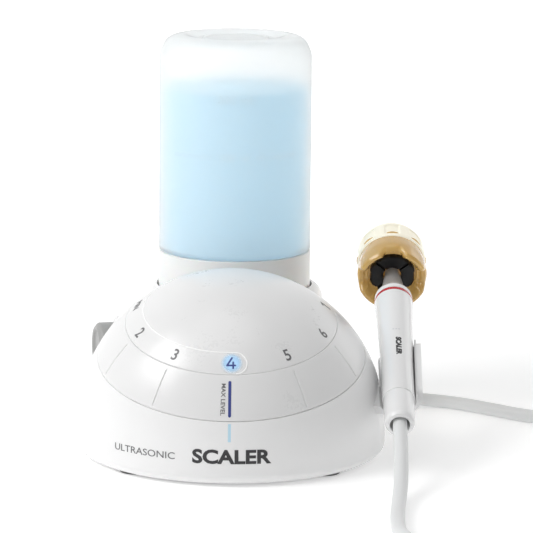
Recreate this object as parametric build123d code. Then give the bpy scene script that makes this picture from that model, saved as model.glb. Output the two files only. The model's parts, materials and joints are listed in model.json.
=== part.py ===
"""Table-top ultrasonic scaler: domed unit with a setting dial, water bottle, side cradle and handpiece.

Units are millimetres. +Z is up, the front of the unit faces -Y, and the origin is the point of the
table under the middle of the dome.
"""

from build123d import *

import math
import os

# ---------------------------------------------------------------- driving dimensions
dome_radius = 67.5
dome_centre_z = 12.0
shell_wall = 2.5
foot_height = 1.0
bottom_edge_rounding = 4.0
plate_thickness = 2.5
plate_inset = 5.5

turret_y = 88.0
turret_radius = 41.0
turret_top_z = 57.0
turret_rounding = 6.0
fairing_top_y = 30.0
fairing_top_radius = 36.0

dial_tilt_deg = 16.5
dial_seam_deg = 60.0
cap_seam_deg = 42.8
dial_wall = 2.2
dial_gap = 0.35
hub_thickness = 3.0
dial_shaft_radius = 4.0
running_clearance = 0.06

bottle_radius = 35.0
bottle_wall = 1.3
bottle_foot_z = 73.5
bottle_top_z = 173.0
bottle_edge_rounding = 8.0
liquid_level_z = 148.8
neck_radius = 17.0
neck_end_z = 50.0
collar_top_z = 73.2
collar_bottom_z = 50.0
collar_wall = 2.5
seat_floor_z = 44.0
shelf_z = 45.0

handpiece_x = 72.2
handpiece_y = -45.0
handpiece_z = 22.0
handpiece_rise_deg = 22.5
collar_length = 18.0
body_end = 91.4
red_ring_end = 93.4
front_ring_end = 98.0
nose_end = 119.0
wrench_start = 110.0
wrench_band_end = 125.0
wrench_end = 139.5
wrench_radius = 15.8
insert_radius = 10.2

cradle_start = 20.0
cradle_end = 63.0
cradle_radius_start = 7.5
cradle_radius_end = 8.15
liner_thickness = 0.8
cradle_wall = 1.7
cradle_left_deg = 46.0
cradle_right_deg = 100.0
web_length = 16.0

knob_face_centre = (-61.6, 36.85, 36.4)
knob_turn_deg = 14.0
knob_radius = 11.5
knob_length = 9.5
knob_pocket_radius = 12.4
valve_radius = 8.0

panel_half_width = 25.0
panel_y = 117.0
panel_bottom_z = 8.0
panel_top_z = 44.0
panel_wall = 2.0
socket_z = 36.2
socket_bore_radius = 3.2
socket_bore_depth = 12.0
rocker_pivot = (15.5, 120.0, 20.75)

cord_diameter = 6.1
gland_y = 72.0
gland_z = 9.0
gland_turn_deg = 15.0
gland_drop_deg = 8.0
gland_face = 3.7
relief_length = 22.0
coil_centre = (191.0, 8.0)
coil_mid_radius = 33.0
coil_width = 24.8
coil_height = 12.4

# ---------------------------------------------------------------- shared frames
dome_centre = Vector(0, 0, dome_centre_z)
tilt = math.radians(dial_tilt_deg)
dial_axis = Vector(0, -math.sin(tilt), math.cos(tilt))
dial_plane = Plane(origin=dome_centre, x_dir=(1, 0, 0), z_dir=dial_axis)
seam_height = dome_radius * math.cos(math.radians(dial_seam_deg))
cap_height = dome_radius * math.cos(math.radians(cap_seam_deg))

rise = math.radians(handpiece_rise_deg)
handpiece_axis = Vector(0, math.cos(rise), math.sin(rise))
handpiece_plane = Plane(
    origin=(handpiece_x, handpiece_y, handpiece_z), x_dir=(1, 0, 0), z_dir=handpiece_axis
)

knob_turn = math.radians(knob_turn_deg)
knob_axis = Vector(-math.cos(knob_turn), -math.sin(knob_turn), 0)
knob_plane = Plane(origin=knob_face_centre, x_dir=(0, 0, 1), z_dir=knob_axis)

gland_turn = math.radians(gland_turn_deg)
gland_drop = math.radians(gland_drop_deg)
gland_axis = Vector(
    math.cos(gland_turn) * math.cos(gland_drop), math.sin(gland_turn) * math.cos(gland_drop), -math.sin(gland_drop)
)


# ---------------------------------------------------------------- small helpers
def turned(points, plane, degrees=360.0):
    """Solid of revolution: points are (radius, height) pairs, turned about the plane's normal."""
    outline = make_face(Polyline(*[(r, 0, h) for r, h in points], close=True))
    return plane * revolve(outline, Axis.Z, degrees)


def rod(plane, radius, low, high):
    """Round bar about the plane's normal, between two heights."""
    return plane * (Pos(0, 0, (low + high) / 2) * Cylinder(radius, high - low))


def tube_of(plane, outer, inner, low, high):
    """Straight tube about the plane's normal, between two heights."""
    return rod(plane, outer, low, high) - rod(plane, inner, low - 1, high + 1)


def block(x, y, z):
    """Box given by its low and high bounds along each axis."""
    size = (x[1] - x[0], y[1] - y[0], z[1] - z[0])
    centre = ((x[0] + x[1]) / 2, (y[0] + y[1]) / 2, (z[0] + z[1]) / 2)
    return Pos(*centre) * Box(*size)


def upright(x=0.0, y=0.0):
    """Plane with a vertical normal over one point of the table."""
    return Plane(origin=(x, y, 0), x_dir=(1, 0, 0), z_dir=(0, 0, 1))


def belt_outline(front_y, front_radius, rear_y, rear_radius, z):
    """Closed wire of two arcs joined by their outer tangent lines, like a belt on two pulleys."""
    lean = math.asin((front_radius - rear_radius) / (rear_y - front_y))
    side, along = math.cos(lean), math.sin(lean)
    front_right = (front_radius * side, front_y + front_radius * along, z)
    front_left = (-front_radius * side, front_y + front_radius * along, z)
    rear_right = (rear_radius * side, rear_y + rear_radius * along, z)
    rear_left = (-rear_radius * side, rear_y + rear_radius * along, z)
    return Wire(
        [
            ThreePointArc(front_left, (0, front_y - front_radius, z), front_right).edge(),
            Line(front_right, rear_right).edge(),
            ThreePointArc(rear_right, (0, rear_y + rear_radius, z), rear_left).edge(),
            Line(rear_left, front_left).edge(),
        ]
    )


def casing_form(inset):
    """Outer form of the casing, moved inwards by inset: dome, skirt, rear fairing and turret."""
    radius = dome_radius - inset
    dome = Pos(0, 0, dome_centre_z) * Sphere(radius)
    skirt = rod(upright(), radius, foot_height, dome_centre_z)
    low = belt_outline(0, radius, turret_y, turret_radius - inset, foot_height)
    high = belt_outline(
        fairing_top_y, fairing_top_radius - inset, turret_y, turret_radius - inset, turret_top_z - inset
    )
    fairing = Solid.make_loft([low, high], ruled=True)
    top_edges = fairing.edges().group_by(Axis.Z)[-1]
    fairing = fillet(top_edges, turret_rounding - inset / 2)
    floor_cut = block((-200, 200), (-200, 300), (-200, foot_height))
    return (dome + skirt + fairing) - floor_cut


def tube_along(points, diameter):
    """Round tube on straight runs joined by tangent arcs, as large as the runs allow."""
    corners = [Vector(*p) for p in points]
    radii = []
    for before, corner, after in zip(corners, corners[1:], corners[2:]):
        arriving, leaving = corner - before, after - corner
        half_turn = math.radians(arriving.get_angle(leaving)) / 2
        radii.append(0.45 * min(arriving.length, leaving.length) / math.tan(half_turn))
    path = FilletPolyline(*points, radius=radii)
    start = Plane(origin=path @ 0, z_dir=path % 0)
    return sweep(start * Circle(diameter / 2), path=path)


# ---------------------------------------------------------------- casing
screw_places = [(-46, -34), (46, -34), (-50, 26), (50, 26), (-29, 100), (29, 100)]
foot_places = [(0, 0), (-40, -40), (40, -40), (-27, 96), (27, 96)]


def below_dial_plane():
    """Everything under the plane where the dial ends."""
    return dial_plane * (Pos(0, 0, seam_height - 200) * Box(400, 400, 400))


def knob_boss():
    """Round boss on the casing's left side, with a flat face behind the flow knob."""
    face = -knob_length - 0.6
    boss = rod(knob_plane, knob_pocket_radius + 1.6, -26.5, face)
    return boss - rod(knob_plane, knob_pocket_radius - 0.9, -27.5, face - shell_wall)


def knob_space():
    """Round recess that the flow knob sits in, with the hole for the valve behind it."""
    recess = rod(knob_plane, knob_pocket_radius, -knob_length - 0.6, 30)
    return recess + rod(knob_plane, valve_radius + 0.1, -36.5, 0)


def screw_boss(x, y, low):
    """Tube for a case screw, tied to the nearest wall by a rib."""
    centre_y = 0 if y < turret_y / 2 else turret_y
    outwards = math.degrees(math.atan2(y - centre_y, x))
    height = 15.0 - low
    rib = Pos(x, y, low + height / 2) * Rot(0, 0, outwards) * Pos(5.0, 0, 0) * Box(8.0, 2.0, height)
    post = rod(upright(x, y), 4.0, low, 15.0)
    return post + rib - rod(upright(x, y), 1.6, low - 1, 16.0)


def rear_recess():
    """Space that the rear panel tray fills."""
    return block((-panel_half_width, panel_half_width), (panel_y, 140), (panel_bottom_z, panel_top_z))


def gland_plane():
    """Frame of the cord gland on the casing's right-hand rear wall, normal pointing out."""
    wall_x = 46.9
    sideways = Vector(-math.sin(gland_turn), math.cos(gland_turn), 0)
    return Plane(origin=(wall_x, gland_y, gland_z), x_dir=sideways, z_dir=gland_axis)


def make_base_shell(outer_form):
    """Upper casing: thin shell with a ledge for the bottom plate, screw bosses and its openings."""
    bottom_edges = outer_form.edges().group_by(Axis.Z)[0]
    outer = fillet(bottom_edges, bottom_edge_rounding)
    ledge_top = foot_height + plate_thickness
    inner = casing_form(shell_wall) & block((-200, 200), (-200, 300), (ledge_top, 300))
    plate_space = extrude(make_face(plate_outline(0.2)), plate_thickness)
    shell = outer - inner - plate_space
    shell = shell & below_dial_plane()
    for x, y in screw_places:
        shell += screw_boss(x, y, ledge_top)
    shell += tube_of(upright(0, turret_y), turret_radius - shell_wall + 0.1, 33.0, shelf_z, shelf_z + shell_wall)
    shell -= rod(upright(0, turret_y), bottle_radius + 1.0, collar_bottom_z, turret_top_z + 1)
    shell += knob_boss() - inner
    shell -= knob_space()
    shell -= rear_recess()
    shell -= rod(gland_plane(), 5.1, -8, 8)
    shell -= light_guide_form(0.0)
    return shell


def plate_outline(grow):
    """Outline of the bottom plate, grown for the space it sits in."""
    inset = plate_inset - grow
    return belt_outline(0, dome_radius - inset, turret_y, turret_radius - inset, foot_height)


def make_bottom_plate():
    """Flat cover under the unit, with counterbored screw holes."""
    plate = extrude(make_face(plate_outline(0.0)), plate_thickness)
    for x, y in screw_places:
        plate -= rod(upright(x, y), 1.6, 0, 10)
        plate -= rod(upright(x, y), 3.2, 0, foot_height + 1.6)
    return plate - rod(gland_plane(), 7.0, -20, 10)


def make_feet():
    """Five flat rubber feet."""
    return Compound([rod(upright(x, y), 7.0, 0, foot_height) for x, y in foot_places])


def make_case_screws():
    """Pan head screws from below into the casing's bosses."""
    screws = []
    for x, y in screw_places:
        head = rod(upright(x, y), 2.9, foot_height + 0.1, foot_height + 1.6)
        screws.append(head + rod(upright(x, y), 1.5, foot_height + 1.6, 13.0))
    return Compound(screws)


def light_guide_form(shrink):
    """Thin upright bar of light guide in the front wall, under the dial's seam."""
    start, length, width, depth = 60.6, 6.4, 1.2, 2.4
    facing = Plane(origin=dome_centre, x_dir=(0, -1, 0), z_dir=(-1, 0, 0))
    inner, outer = dome_radius - depth, dome_radius - shrink
    sector = []
    for radius, step in ((inner, 1), (outer, -1)):
        for share in (0.0, 0.5, 1.0)[::step]:
            angle = math.radians(90 - start - dial_tilt_deg - share * length)
            sector.append((radius * math.cos(angle), radius * math.sin(angle)))
    low = ThreePointArc(sector[0], sector[1], sector[2])
    high = ThreePointArc(sector[3], sector[4], sector[5])
    face = make_face([low, Line(sector[2], sector[3]), high, Line(sector[5], sector[0])])
    return facing * extrude(face, width / 2, both=True)


# ---------------------------------------------------------------- dial
def dial_slice(outer_radius, inner_radius, low, high):
    """Zone of a spherical shell between two heights on the dial's axis."""
    ball = Sphere(outer_radius)
    if inner_radius:
        ball -= Sphere(inner_radius)
    slab = Pos(0, 0, (low + high) / 2) * Box(200, 200, high - low)
    return dial_plane * (ball & slab)


def make_dial_parts():
    """Ring with the grooves, cap with the numbers, hub with the shaft, and three screws."""
    inner = dome_radius - dial_wall
    ring = dial_slice(dome_radius, inner, seam_height + dial_gap, cap_height)
    cap = dial_slice(dome_radius, inner, cap_height, dome_radius + 1)
    hub_top = cap_height - 1.0
    hub_low = hub_top - hub_thickness
    hub = dial_slice(inner, 0, hub_low, hub_top)
    hub += rod(dial_plane, dial_shaft_radius, seam_height - 18, hub_low)
    screws = []
    for index in range(3):
        turn = Rot(0, 0, 60 + 120 * index)
        place = dial_plane * turn * Pos(25, 0, 0)
        post = place * (Pos(0, 0, hub_top + 1.2) * Cylinder(2.6, 1.6))
        stem = place * (Pos(0, 0, hub_top - 1.8) * Cylinder(1.4, 4.4))
        hub -= place * (Pos(0, 0, hub_top - 1.5) * Cylinder(1.5, 6))
        screws.append(post + stem)
    return ring, cap, hub, Compound(screws)


def make_deck_parts():
    """Plate under the dial with the bushing, the encoder and the lamp board."""
    low, high = seam_height - 8.0, seam_height - 5.5
    inner = dome_radius - shell_wall
    deck = dial_slice(inner - 0.05, 0, low, high)
    bushing_outer = 7.0
    deck -= rod(dial_plane, bushing_outer, low - 1, high + 1)
    deck -= rod(upright(0, turret_y), bottle_radius + 1.5, 30, 80)
    bushing = tube_of(dial_plane, bushing_outer, dial_shaft_radius + running_clearance, low - 3, high + 3)
    encoder_top = low - 3.0
    encoder = tube_of(dial_plane, 10.0, dial_shaft_radius + running_clearance, encoder_top - 7, encoder_top)
    lamp_board = dial_plane * (Pos(0, -36, high + 0.8) * Box(24, 12, 1.6))
    lamps = [dial_plane * (Pos(x, -36, high + 2.6) * Cylinder(1.5, 2.0)) for x in (-7, 0, 7)]
    for lamp in lamps:
        lamp_board += lamp
    return deck, bushing, encoder, lamp_board


# ---------------------------------------------------------------- bottle and its seat
def make_collar():
    """White ring on the turret that the bottle stands on."""
    return tube_of(upright(0, turret_y), bottle_radius + 0.1, bottle_radius + 0.1 - collar_wall,
                   collar_bottom_z, collar_top_z)


def make_seat_parts():
    """Cup under the collar with the hollow spike, and the ring seal on its floor."""
    axis = upright(0, turret_y)
    rim_z = collar_bottom_z
    seat = turned(
        [
            (0, seat_floor_z - 2), (23.5, seat_floor_z - 2), (23.5, rim_z - 2.5), (34, rim_z - 2.5),
            (34, rim_z), (21.5, rim_z), (21.5, seat_floor_z), (2.2, seat_floor_z),
            (2.0, 51.5), (0, 52.5),
        ],
        axis,
    )
    seat -= rod(axis, 1.0, seat_floor_z - 3, 54)
    outlet = tube_of(axis, 3.0, 1.0, seat_floor_z - 7, seat_floor_z - 2)
    seal = tube_of(axis, 12.0, 9.5, seat_floor_z, seat_floor_z + 1.5)
    return seat + outlet, seal


def make_bottle_parts():
    """Inverted bottle: wall, liquid, cap on the neck, cap seal and soft valve disc."""
    axis = upright(0, turret_y)
    nest_radius = bottle_radius + 0.1 - collar_wall - 0.4
    shoulder_z = 68.0
    neck_top_z = 62.5

    def outline(inset):
        side = bottle_radius - inset
        return [
            (0, bottle_top_z - 2.5 - inset),
            (19, bottle_top_z - 2.5 - inset),
            (23, bottle_top_z - inset),
            (side - bottle_edge_rounding + inset, bottle_top_z - inset),
            (side - 0.3 * bottle_edge_rounding, bottle_top_z - 2.3),
            (side, bottle_top_z - bottle_edge_rounding),
            (side, bottle_foot_z + (inset > 0) * inset),
            (nest_radius - inset, bottle_foot_z + (inset > 0) * inset),
            (nest_radius - inset, shoulder_z + 0.6 * inset),
            (neck_radius - inset, neck_top_z + inset),
        ]

    shell_points = outline(0) + [(neck_radius, neck_end_z), (0, neck_end_z)]
    space_points = outline(bottle_wall) + [(neck_radius - bottle_wall, neck_end_z - 1), (0, neck_end_z - 1)]
    shell = turned(shell_points, axis) - turned(space_points, axis)
    gap = 0.1
    filled = turned(outline(bottle_wall + gap) + [(neck_radius - bottle_wall - gap, 54), (0, 54)], axis)
    liquid = filled & block((-60, 60), (turret_y - 60, turret_y + 60), (0, liquid_level_z))
    cap = turned([(2.6, 46), (20, 46), (20.5, 47), (20.5, 61), (17.05, 61), (17.05, 48), (2.6, 48)], axis)
    seal = tube_of(axis, 16.9, 13.0, 48.0, neck_end_z)
    valve = tube_of(axis, 12.9, 2.5, 48.0, 49.5)
    return shell, liquid, cap, seal, valve


# ---------------------------------------------------------------- handpiece, wrench and cradle
def make_handpiece_parts():
    """Handpiece from its rear collar to its tip, heights counted from the collar's rear end."""
    plane = handpiece_plane
    bore, bore_depth, sleeve_end = 4.25, 8.0, -0.5
    collar = turned(
        [
            (bore, 0), (5.9, 0), (6.5, 0.7), (6.9, collar_length), (6.0, collar_length),
            (6.0, bore_depth), (bore, bore_depth),
        ],
        plane,
    )
    sleeve = rod(plane, cord_diameter / 2, sleeve_end, 14) + rod(plane, 5.9, bore_depth + 0.1, 14)
    body = turned(
        [
            (6.0, collar_length), (7.0, collar_length), (7.1, 30), (7.1, 45), (7.65, 65), (8.0, 78),
            (8.65, body_end), (6.2, body_end), (6.0, 60),
        ],
        plane,
    )
    red_ring = tube_of(plane, 8.75, 6.2, body_end, red_ring_end)
    front_ring = turned(
        [
            (5.95, red_ring_end), (8.7, red_ring_end), (8.6, 96.4), (7.9, front_ring_end),
            (5.95, front_ring_end),
        ],
        plane,
    )
    nose = turned(
        [
            (4.6, 94), (5.9, 94), (5.9, front_ring_end), (5.7, 99), (3.6, 114), (3.2, nose_end),
            (1.9, nose_end), (1.9, 116),
        ],
        plane,
    )
    back_mass = tube_of(plane, 5.0, 1.5, 40, 56)
    piezo = Compound([tube_of(plane, 5.2, 1.5, 56 + 3.0 * i, 58.6 + 3.0 * i) for i in range(4)])
    horn = turned(
        [(0, 68), (5.0, 68), (5.0, 84), (3.6, 88), (1.7, 112), (1.7, nose_end), (0, nose_end)], plane
    )
    tip_path = [(0, nose_end), (0, 125), (1.2, 129.5), (0.2, 134.5)]
    tip = rod(plane, 2.2, nose_end, nose_end + 3)
    for (x0, h0), (x1, h1), radius in zip(tip_path, tip_path[1:], (1.0, 0.8, 0.6)):
        low, high = plane.from_local_coords(Vector(0, x0, h0)), plane.from_local_coords(Vector(0, x1, h1))
        piece = Plane(origin=low, z_dir=high - low)
        tip += rod(piece, radius, 0, (high - low).length) + Pos(*high) * Sphere(radius)
    return collar, sleeve, body, red_ring, front_ring, nose, back_mass, piezo, horn, tip


def make_wrench_parts():
    """Torque wrench for the tip: amber body, ribbed grip band and dark slotted insert."""
    plane = handpiece_plane
    insert_back = 118.0
    insert_front = 114.5
    cavity = 4.3
    body = turned(
        [
            (insert_radius + 0.5, insert_front), (12.0, wrench_start), (wrench_radius - 1.2, wrench_start),
            (wrench_radius, wrench_start + 1.5), (wrench_radius, 118), (15.1, wrench_band_end),
            (13.0, wrench_band_end), (13.0, wrench_end - 1), (11.0, wrench_end + 0.5), (cavity, wrench_end + 0.5),
            (cavity, insert_back), (insert_radius + 0.5, insert_back),
        ],
        plane,
    )
    for index in range(4):
        niche = Rot(0, 0, 90 * index) * Pos(wrench_radius - 1.6, 0, wrench_start + 1.5)
        body -= plane * (niche * Box(4.4, 7.0, 6.0))
    grip = turned(
        [
            (13.0, wrench_band_end), (15.3, wrench_band_end), (15.7, 128), (15.2, 135), (13.6, wrench_end - 1),
            (13.0, wrench_end - 1),
        ],
        plane,
    )
    for index in range(8):
        window = Rot(0, 0, 22.5 + 45 * index) * Pos(15.9, 0, 131)
        grip -= plane * (window * Box(2.0, 7.4, 7.0))
    insert = tube_of(plane, insert_radius + 0.4, 4.1, insert_front + 0.5, insert_back)
    for index in range(4):
        slot = Rot(0, 0, 45 + 90 * index) * Pos(7.6, 0, insert_front + 0.5)
        insert -= plane * (slot * Box(3.6, 1.2, 1.6))
    return body, grip, insert


def cradle_radius(height):
    """Inner radius of the cradle's liner, which widens slightly towards the front of the handpiece."""
    share = (height - cradle_start) / (cradle_end - cradle_start)
    return cradle_radius_start + share * (cradle_radius_end - cradle_radius_start)


def trough(gap, wall, start, end):
    """Part of a tube under the handpiece, taller on the outer side, its inner face a gap outside the liner's."""
    low, high = cradle_radius(start) + gap, cradle_radius(end) + gap
    profile = [(low, start), (low + wall, start), (high + wall, end), (high, end)]
    half = Pos(0, 50, 0) * Box(100, 100, 400)
    kept = (Rot(0, 0, 90 - cradle_right_deg) * half) & (Rot(0, 0, cradle_left_deg - 90) * half)
    return turned(profile, handpiece_plane) & (handpiece_plane * kept)


def make_cradle_parts(outer_form):
    """Open trough joined to the dome's side by a web, with a soft liner."""
    cradle = trough(liner_thickness, cradle_wall, cradle_start, cradle_end)
    web = handpiece_plane * (Pos(-12.0, 7.0, cradle_start + web_length / 2) * Box(24, 5.0, web_length))
    low, high = cradle_start - 1, cradle_end + 1
    space = turned(
        [(0, low), (cradle_radius(low) + liner_thickness, low),
         (cradle_radius(high) + liner_thickness, high), (0, high)],
        handpiece_plane,
    )
    cradle = cradle + (web - space)
    cradle -= outer_form
    largest = max(cradle.solids(), key=lambda solid: solid.volume)
    liner = trough(0, liner_thickness, cradle_start + 1.0, cradle_end - 1.0)
    return largest, liner


# ---------------------------------------------------------------- flow knob and irrigation
def make_knob_parts():
    """Flow knob, its shaft with the cam, and the valve body behind the pocket."""
    back = -knob_length
    knob = turned(
        [
            (0, -1.2), (8.2, -1.2), (9.2, 0), (10.6, 0), (knob_radius, -1.2), (knob_radius, back),
            (9.5, back), (9.5, -4), (3.5, -4), (3.5, -7), (0, -7),
        ],
        knob_plane,
    )
    shaft = rod(knob_plane, 3.0, -20.5, -7)
    shaft += knob_plane * (Pos(1.2, 0, -22.5) * Cylinder(3.6, 4))
    neck_back = -17.5
    barrel = tube_of(knob_plane, valve_radius, 5.2, -28.5, neck_back)
    neck = tube_of(knob_plane, valve_radius, 3.0 + running_clearance, neck_back, back - 1.2)
    return knob, shaft, barrel + neck


def make_tubes():
    """Two soft water tubes inside the casing: bottle seat to valve, valve to cord gland."""
    valve_end = knob_plane.from_local_coords(Vector(0, 0, -28.5))
    feed = tube_along(
        [
            (0, turret_y, seat_floor_z - 7), (0, turret_y, 27), (-10, 76, 23), (-24, 62, 25),
            (-28, 52, 31), tuple(valve_end + Vector(5.0, 4.0, -2.0)),
        ],
        4.0,
    )
    inner_end = gland_plane().from_local_coords(Vector(0, 0, -8))
    outlet = tube_along(
        [
            tuple(valve_end + Vector(5.0, -3.0, -6.0)), (-26, 44, 20), (-24, 62, 14), (-6, 78, 11),
            (14, 76, 8.5), tuple(inner_end),
        ],
        4.0,
    )
    return feed, outlet


# ---------------------------------------------------------------- electronics and rear panel
def make_electronics():
    """Main board on standoffs, toroidal transformer and the driver's heat sink."""
    board_z = 14.0
    floor_z = foot_height + plate_thickness
    board = block((-36, 36), (-46, 4), (board_z, board_z + 1.6))
    for x, y, w, d, h in ((-24, -30, 10, 10, 4), (0, -34, 14, 14, 2.5), (22, -14, 12, 8, 6), (-20, -8, 8, 12, 9)):
        board += block((x - w / 2, x + w / 2), (y - d / 2, y + d / 2), (board_z + 1.6, board_z + 1.6 + h))
    corners = [(x, y) for x in (-32, 32) for y in (-42, 0)]
    standoffs = Compound([rod(upright(x, y), 2.5, floor_z, board_z) for x, y in corners])
    transformer = tube_of(upright(0, 34), 20.0, 6.0, floor_z, 27.0)
    sink = block((12, 32), (-36, -22), (board_z + 1.6, board_z + 3.6))
    for index in range(6):
        x = 12.0 + 3.6 * index
        sink += block((x, x + 2.0), (-36, -22), (board_z + 3.6, board_z + 9.6))
    return board, standoffs, transformer, sink


def make_rear_parts(outer_form):
    """Recessed tray at the back with the mains inlet, the foot-switch socket and the switch frame."""
    tray = block((-panel_half_width, panel_half_width), (panel_y, 140), (panel_bottom_z, panel_top_z))
    tray -= block(
        (-panel_half_width + panel_wall, panel_half_width - panel_wall),
        (panel_y + panel_wall, 141),
        (panel_bottom_z + panel_wall, panel_top_z - panel_wall),
    )
    tray = tray & outer_form
    inlet_x, switch_x, opening_z = (-21.0, 6.0), (9.0, 22.0), (11.0, 30.5)
    tray -= block(inlet_x, (110, 125), opening_z)
    tray -= block(switch_x, (110, 125), opening_z)
    face_y = panel_y + panel_wall
    socket_plane = Plane(origin=(-8.0, face_y, socket_z), x_dir=(1, 0, 0), z_dir=(0, 1, 0))
    tray -= rod(socket_plane, 4.6, -10, 10)
    inlet = block(inlet_x, (98, face_y + 1.5), opening_z)
    inlet -= block((-19.0, 4.0), (104, 130), (13.0, 28.5))
    for x in (-14.5, -7.5, -0.5):
        inlet += block((x - 1.0, x + 1.0), (104, 112), (19.0, 23.0))
    socket = rod(socket_plane, 4.5, -16, 2.5)
    socket -= rod(socket_plane, socket_bore_radius, -socket_bore_depth, 4)
    frame = block(switch_x, (100, face_y + 1.0), opening_z)
    frame -= block((10.5, 20.5), (108, 130), (13.0, 28.5))
    pivot = Plane(origin=rocker_pivot, x_dir=(0, 1, 0), z_dir=(1, 0, 0))
    side_view = [(-6, -5.5), (-6, 5.5), (0.3, 6.8), (2.0, 6.8), (0.9, 0), (3.4, -6.8), (0.8, -6.8)]
    rocker = pivot * extrude(make_face(Polyline(*side_view, close=True)), 4.6, both=True)
    return tray, inlet, socket, frame, rocker


# ---------------------------------------------------------------- cord
def make_gland_parts():
    """Gland through the casing's wall and the tapered strain relief on it."""
    plane = gland_plane()
    gland = rod(plane, 5.0, -6, 2.5) + rod(plane, 6.5, 1.2, gland_face) + rod(plane, 6.5, -8, -5.2)
    gland -= rod(plane, 2.2, -8.5, 4)
    relief_end = gland_face + relief_length
    relief = turned([(0, gland_face), (5.2, gland_face), (5.0, 7), (3.7, relief_end), (0, relief_end)], plane)
    return gland, relief


def make_cords():
    """Handpiece cord: run from the strain relief, a stored coil, and the run to the handpiece."""
    radius = cord_diameter / 2
    relief_end = gland_face + relief_length
    start = gland_plane().from_local_coords(Vector(0, 0, relief_end))
    straight_on = gland_plane().from_local_coords(Vector(0, 0, relief_end + 9))
    supply = tube_along(
        [
            tuple(start), tuple(straight_on), (92, 82, radius), (105, 76, radius), (119, 65, radius),
            (133, 53, radius), (147, 47.3, radius), (161, 46.6, radius), (176.1, 48.9, radius),
            (coil_centre[0], 50.3, radius),
        ],
        cord_diameter,
    )
    straight_out = handpiece_plane.from_local_coords(Vector(0, 0, -19.5))
    end = handpiece_plane.from_local_coords(Vector(0, 0, -0.5))
    to_handpiece = tube_along(
        [
            (coil_centre[0], -34.3, 9.25), (181, -35, 8.6), (171, -37.5, 4.6), (160, -42.5, radius),
            (150, -51, radius), (143, -65, radius), (139.5, -88, radius), (140, -120, radius),
            (139, -152, radius), (126, -171, radius), (104, -178, radius), (82, -171, radius),
            (68.5, -152, radius), (68, -124, radius), (70, -98, radius), (71.5, -81, 6.6),
            tuple(straight_out), tuple(end),
        ],
        cord_diameter,
    )
    coil = tube_of(
        upright(*coil_centre), coil_mid_radius + coil_width / 2, coil_mid_radius - coil_width / 2, 0, coil_height
    )
    return supply, coil, to_handpiece


# ---------------------------------------------------------------- the whole unit
def make_unit():
    """Every piece of the unit by its node name."""
    outer_form = casing_form(0)
    ring, cap, hub, dial_screws = make_dial_parts()
    deck, bushing, encoder, lamp_board = make_deck_parts()
    seat, seat_seal = make_seat_parts()
    bottle, liquid, bottle_cap, cap_seal, cap_valve = make_bottle_parts()
    collar, sleeve, body, red_ring, front_ring, nose, back_mass, piezo, horn, tip = make_handpiece_parts()
    wrench_body, wrench_grip, wrench_insert = make_wrench_parts()
    cradle, liner = make_cradle_parts(outer_form)
    knob, knob_shaft, valve_body = make_knob_parts()
    feed_tube, outlet_tube = make_tubes()
    board, standoffs, transformer, sink = make_electronics()
    tray, inlet, socket, switch_frame, rocker = make_rear_parts(outer_form)
    gland, relief = make_gland_parts()
    supply, coil, to_handpiece = make_cords()
    return {
        "base_shell": make_base_shell(outer_form),
        "bottom_plate": make_bottom_plate(),
        "rubber_feet": make_feet(),
        "case_screws": make_case_screws(),
        "index_light_guide": light_guide_form(0.0),
        "dial_ring": ring,
        "dial_cap": cap,
        "dial_hub": hub,
        "dial_screws": dial_screws,
        "dial_deck": deck,
        "dial_bushing": bushing,
        "dial_encoder": encoder,
        "lamp_board": lamp_board,
        "bottle_collar": make_collar(),
        "bottle_seat": seat,
        "seat_seal": seat_seal,
        "bottle_shell": bottle,
        "irrigation_liquid": liquid,
        "bottle_cap": bottle_cap,
        "cap_seal": cap_seal,
        "cap_valve": cap_valve,
        "handpiece_collar": collar,
        "cord_sleeve": sleeve,
        "handpiece_body": body,
        "red_ring": red_ring,
        "front_ring": front_ring,
        "nose_cone": nose,
        "back_mass": back_mass,
        "piezo_stack": piezo,
        "ultrasonic_horn": horn,
        "scaler_tip": tip,
        "wrench_body": wrench_body,
        "wrench_grip": wrench_grip,
        "wrench_insert": wrench_insert,
        "handpiece_cradle": cradle,
        "cradle_liner": liner,
        "flow_knob": knob,
        "knob_shaft": knob_shaft,
        "valve_body": valve_body,
        "feed_tube": feed_tube,
        "outlet_tube": outlet_tube,
        "main_board": board,
        "board_standoffs": standoffs,
        "transformer": transformer,
        "driver_heat_sink": sink,
        "rear_panel": tray,
        "mains_inlet": inlet,
        "footswitch_socket": socket,
        "switch_frame": switch_frame,
        "power_rocker": rocker,
        "cord_gland": gland,
        "strain_relief": relief,
        "cord_supply_run": supply,
        "cord_coil": coil,
        "cord_handpiece_run": to_handpiece,
    }


os.makedirs("parts", exist_ok=True)
for node, shape in make_unit().items():
    export_step(shape, f"parts/{node}.step")
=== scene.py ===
"""Looks of the table-top ultrasonic scaler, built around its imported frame.

Everything is in metres in the frame's own axes: +Z up, the front towards -Y, the cradle towards +X.
"""

import json
import math

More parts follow.
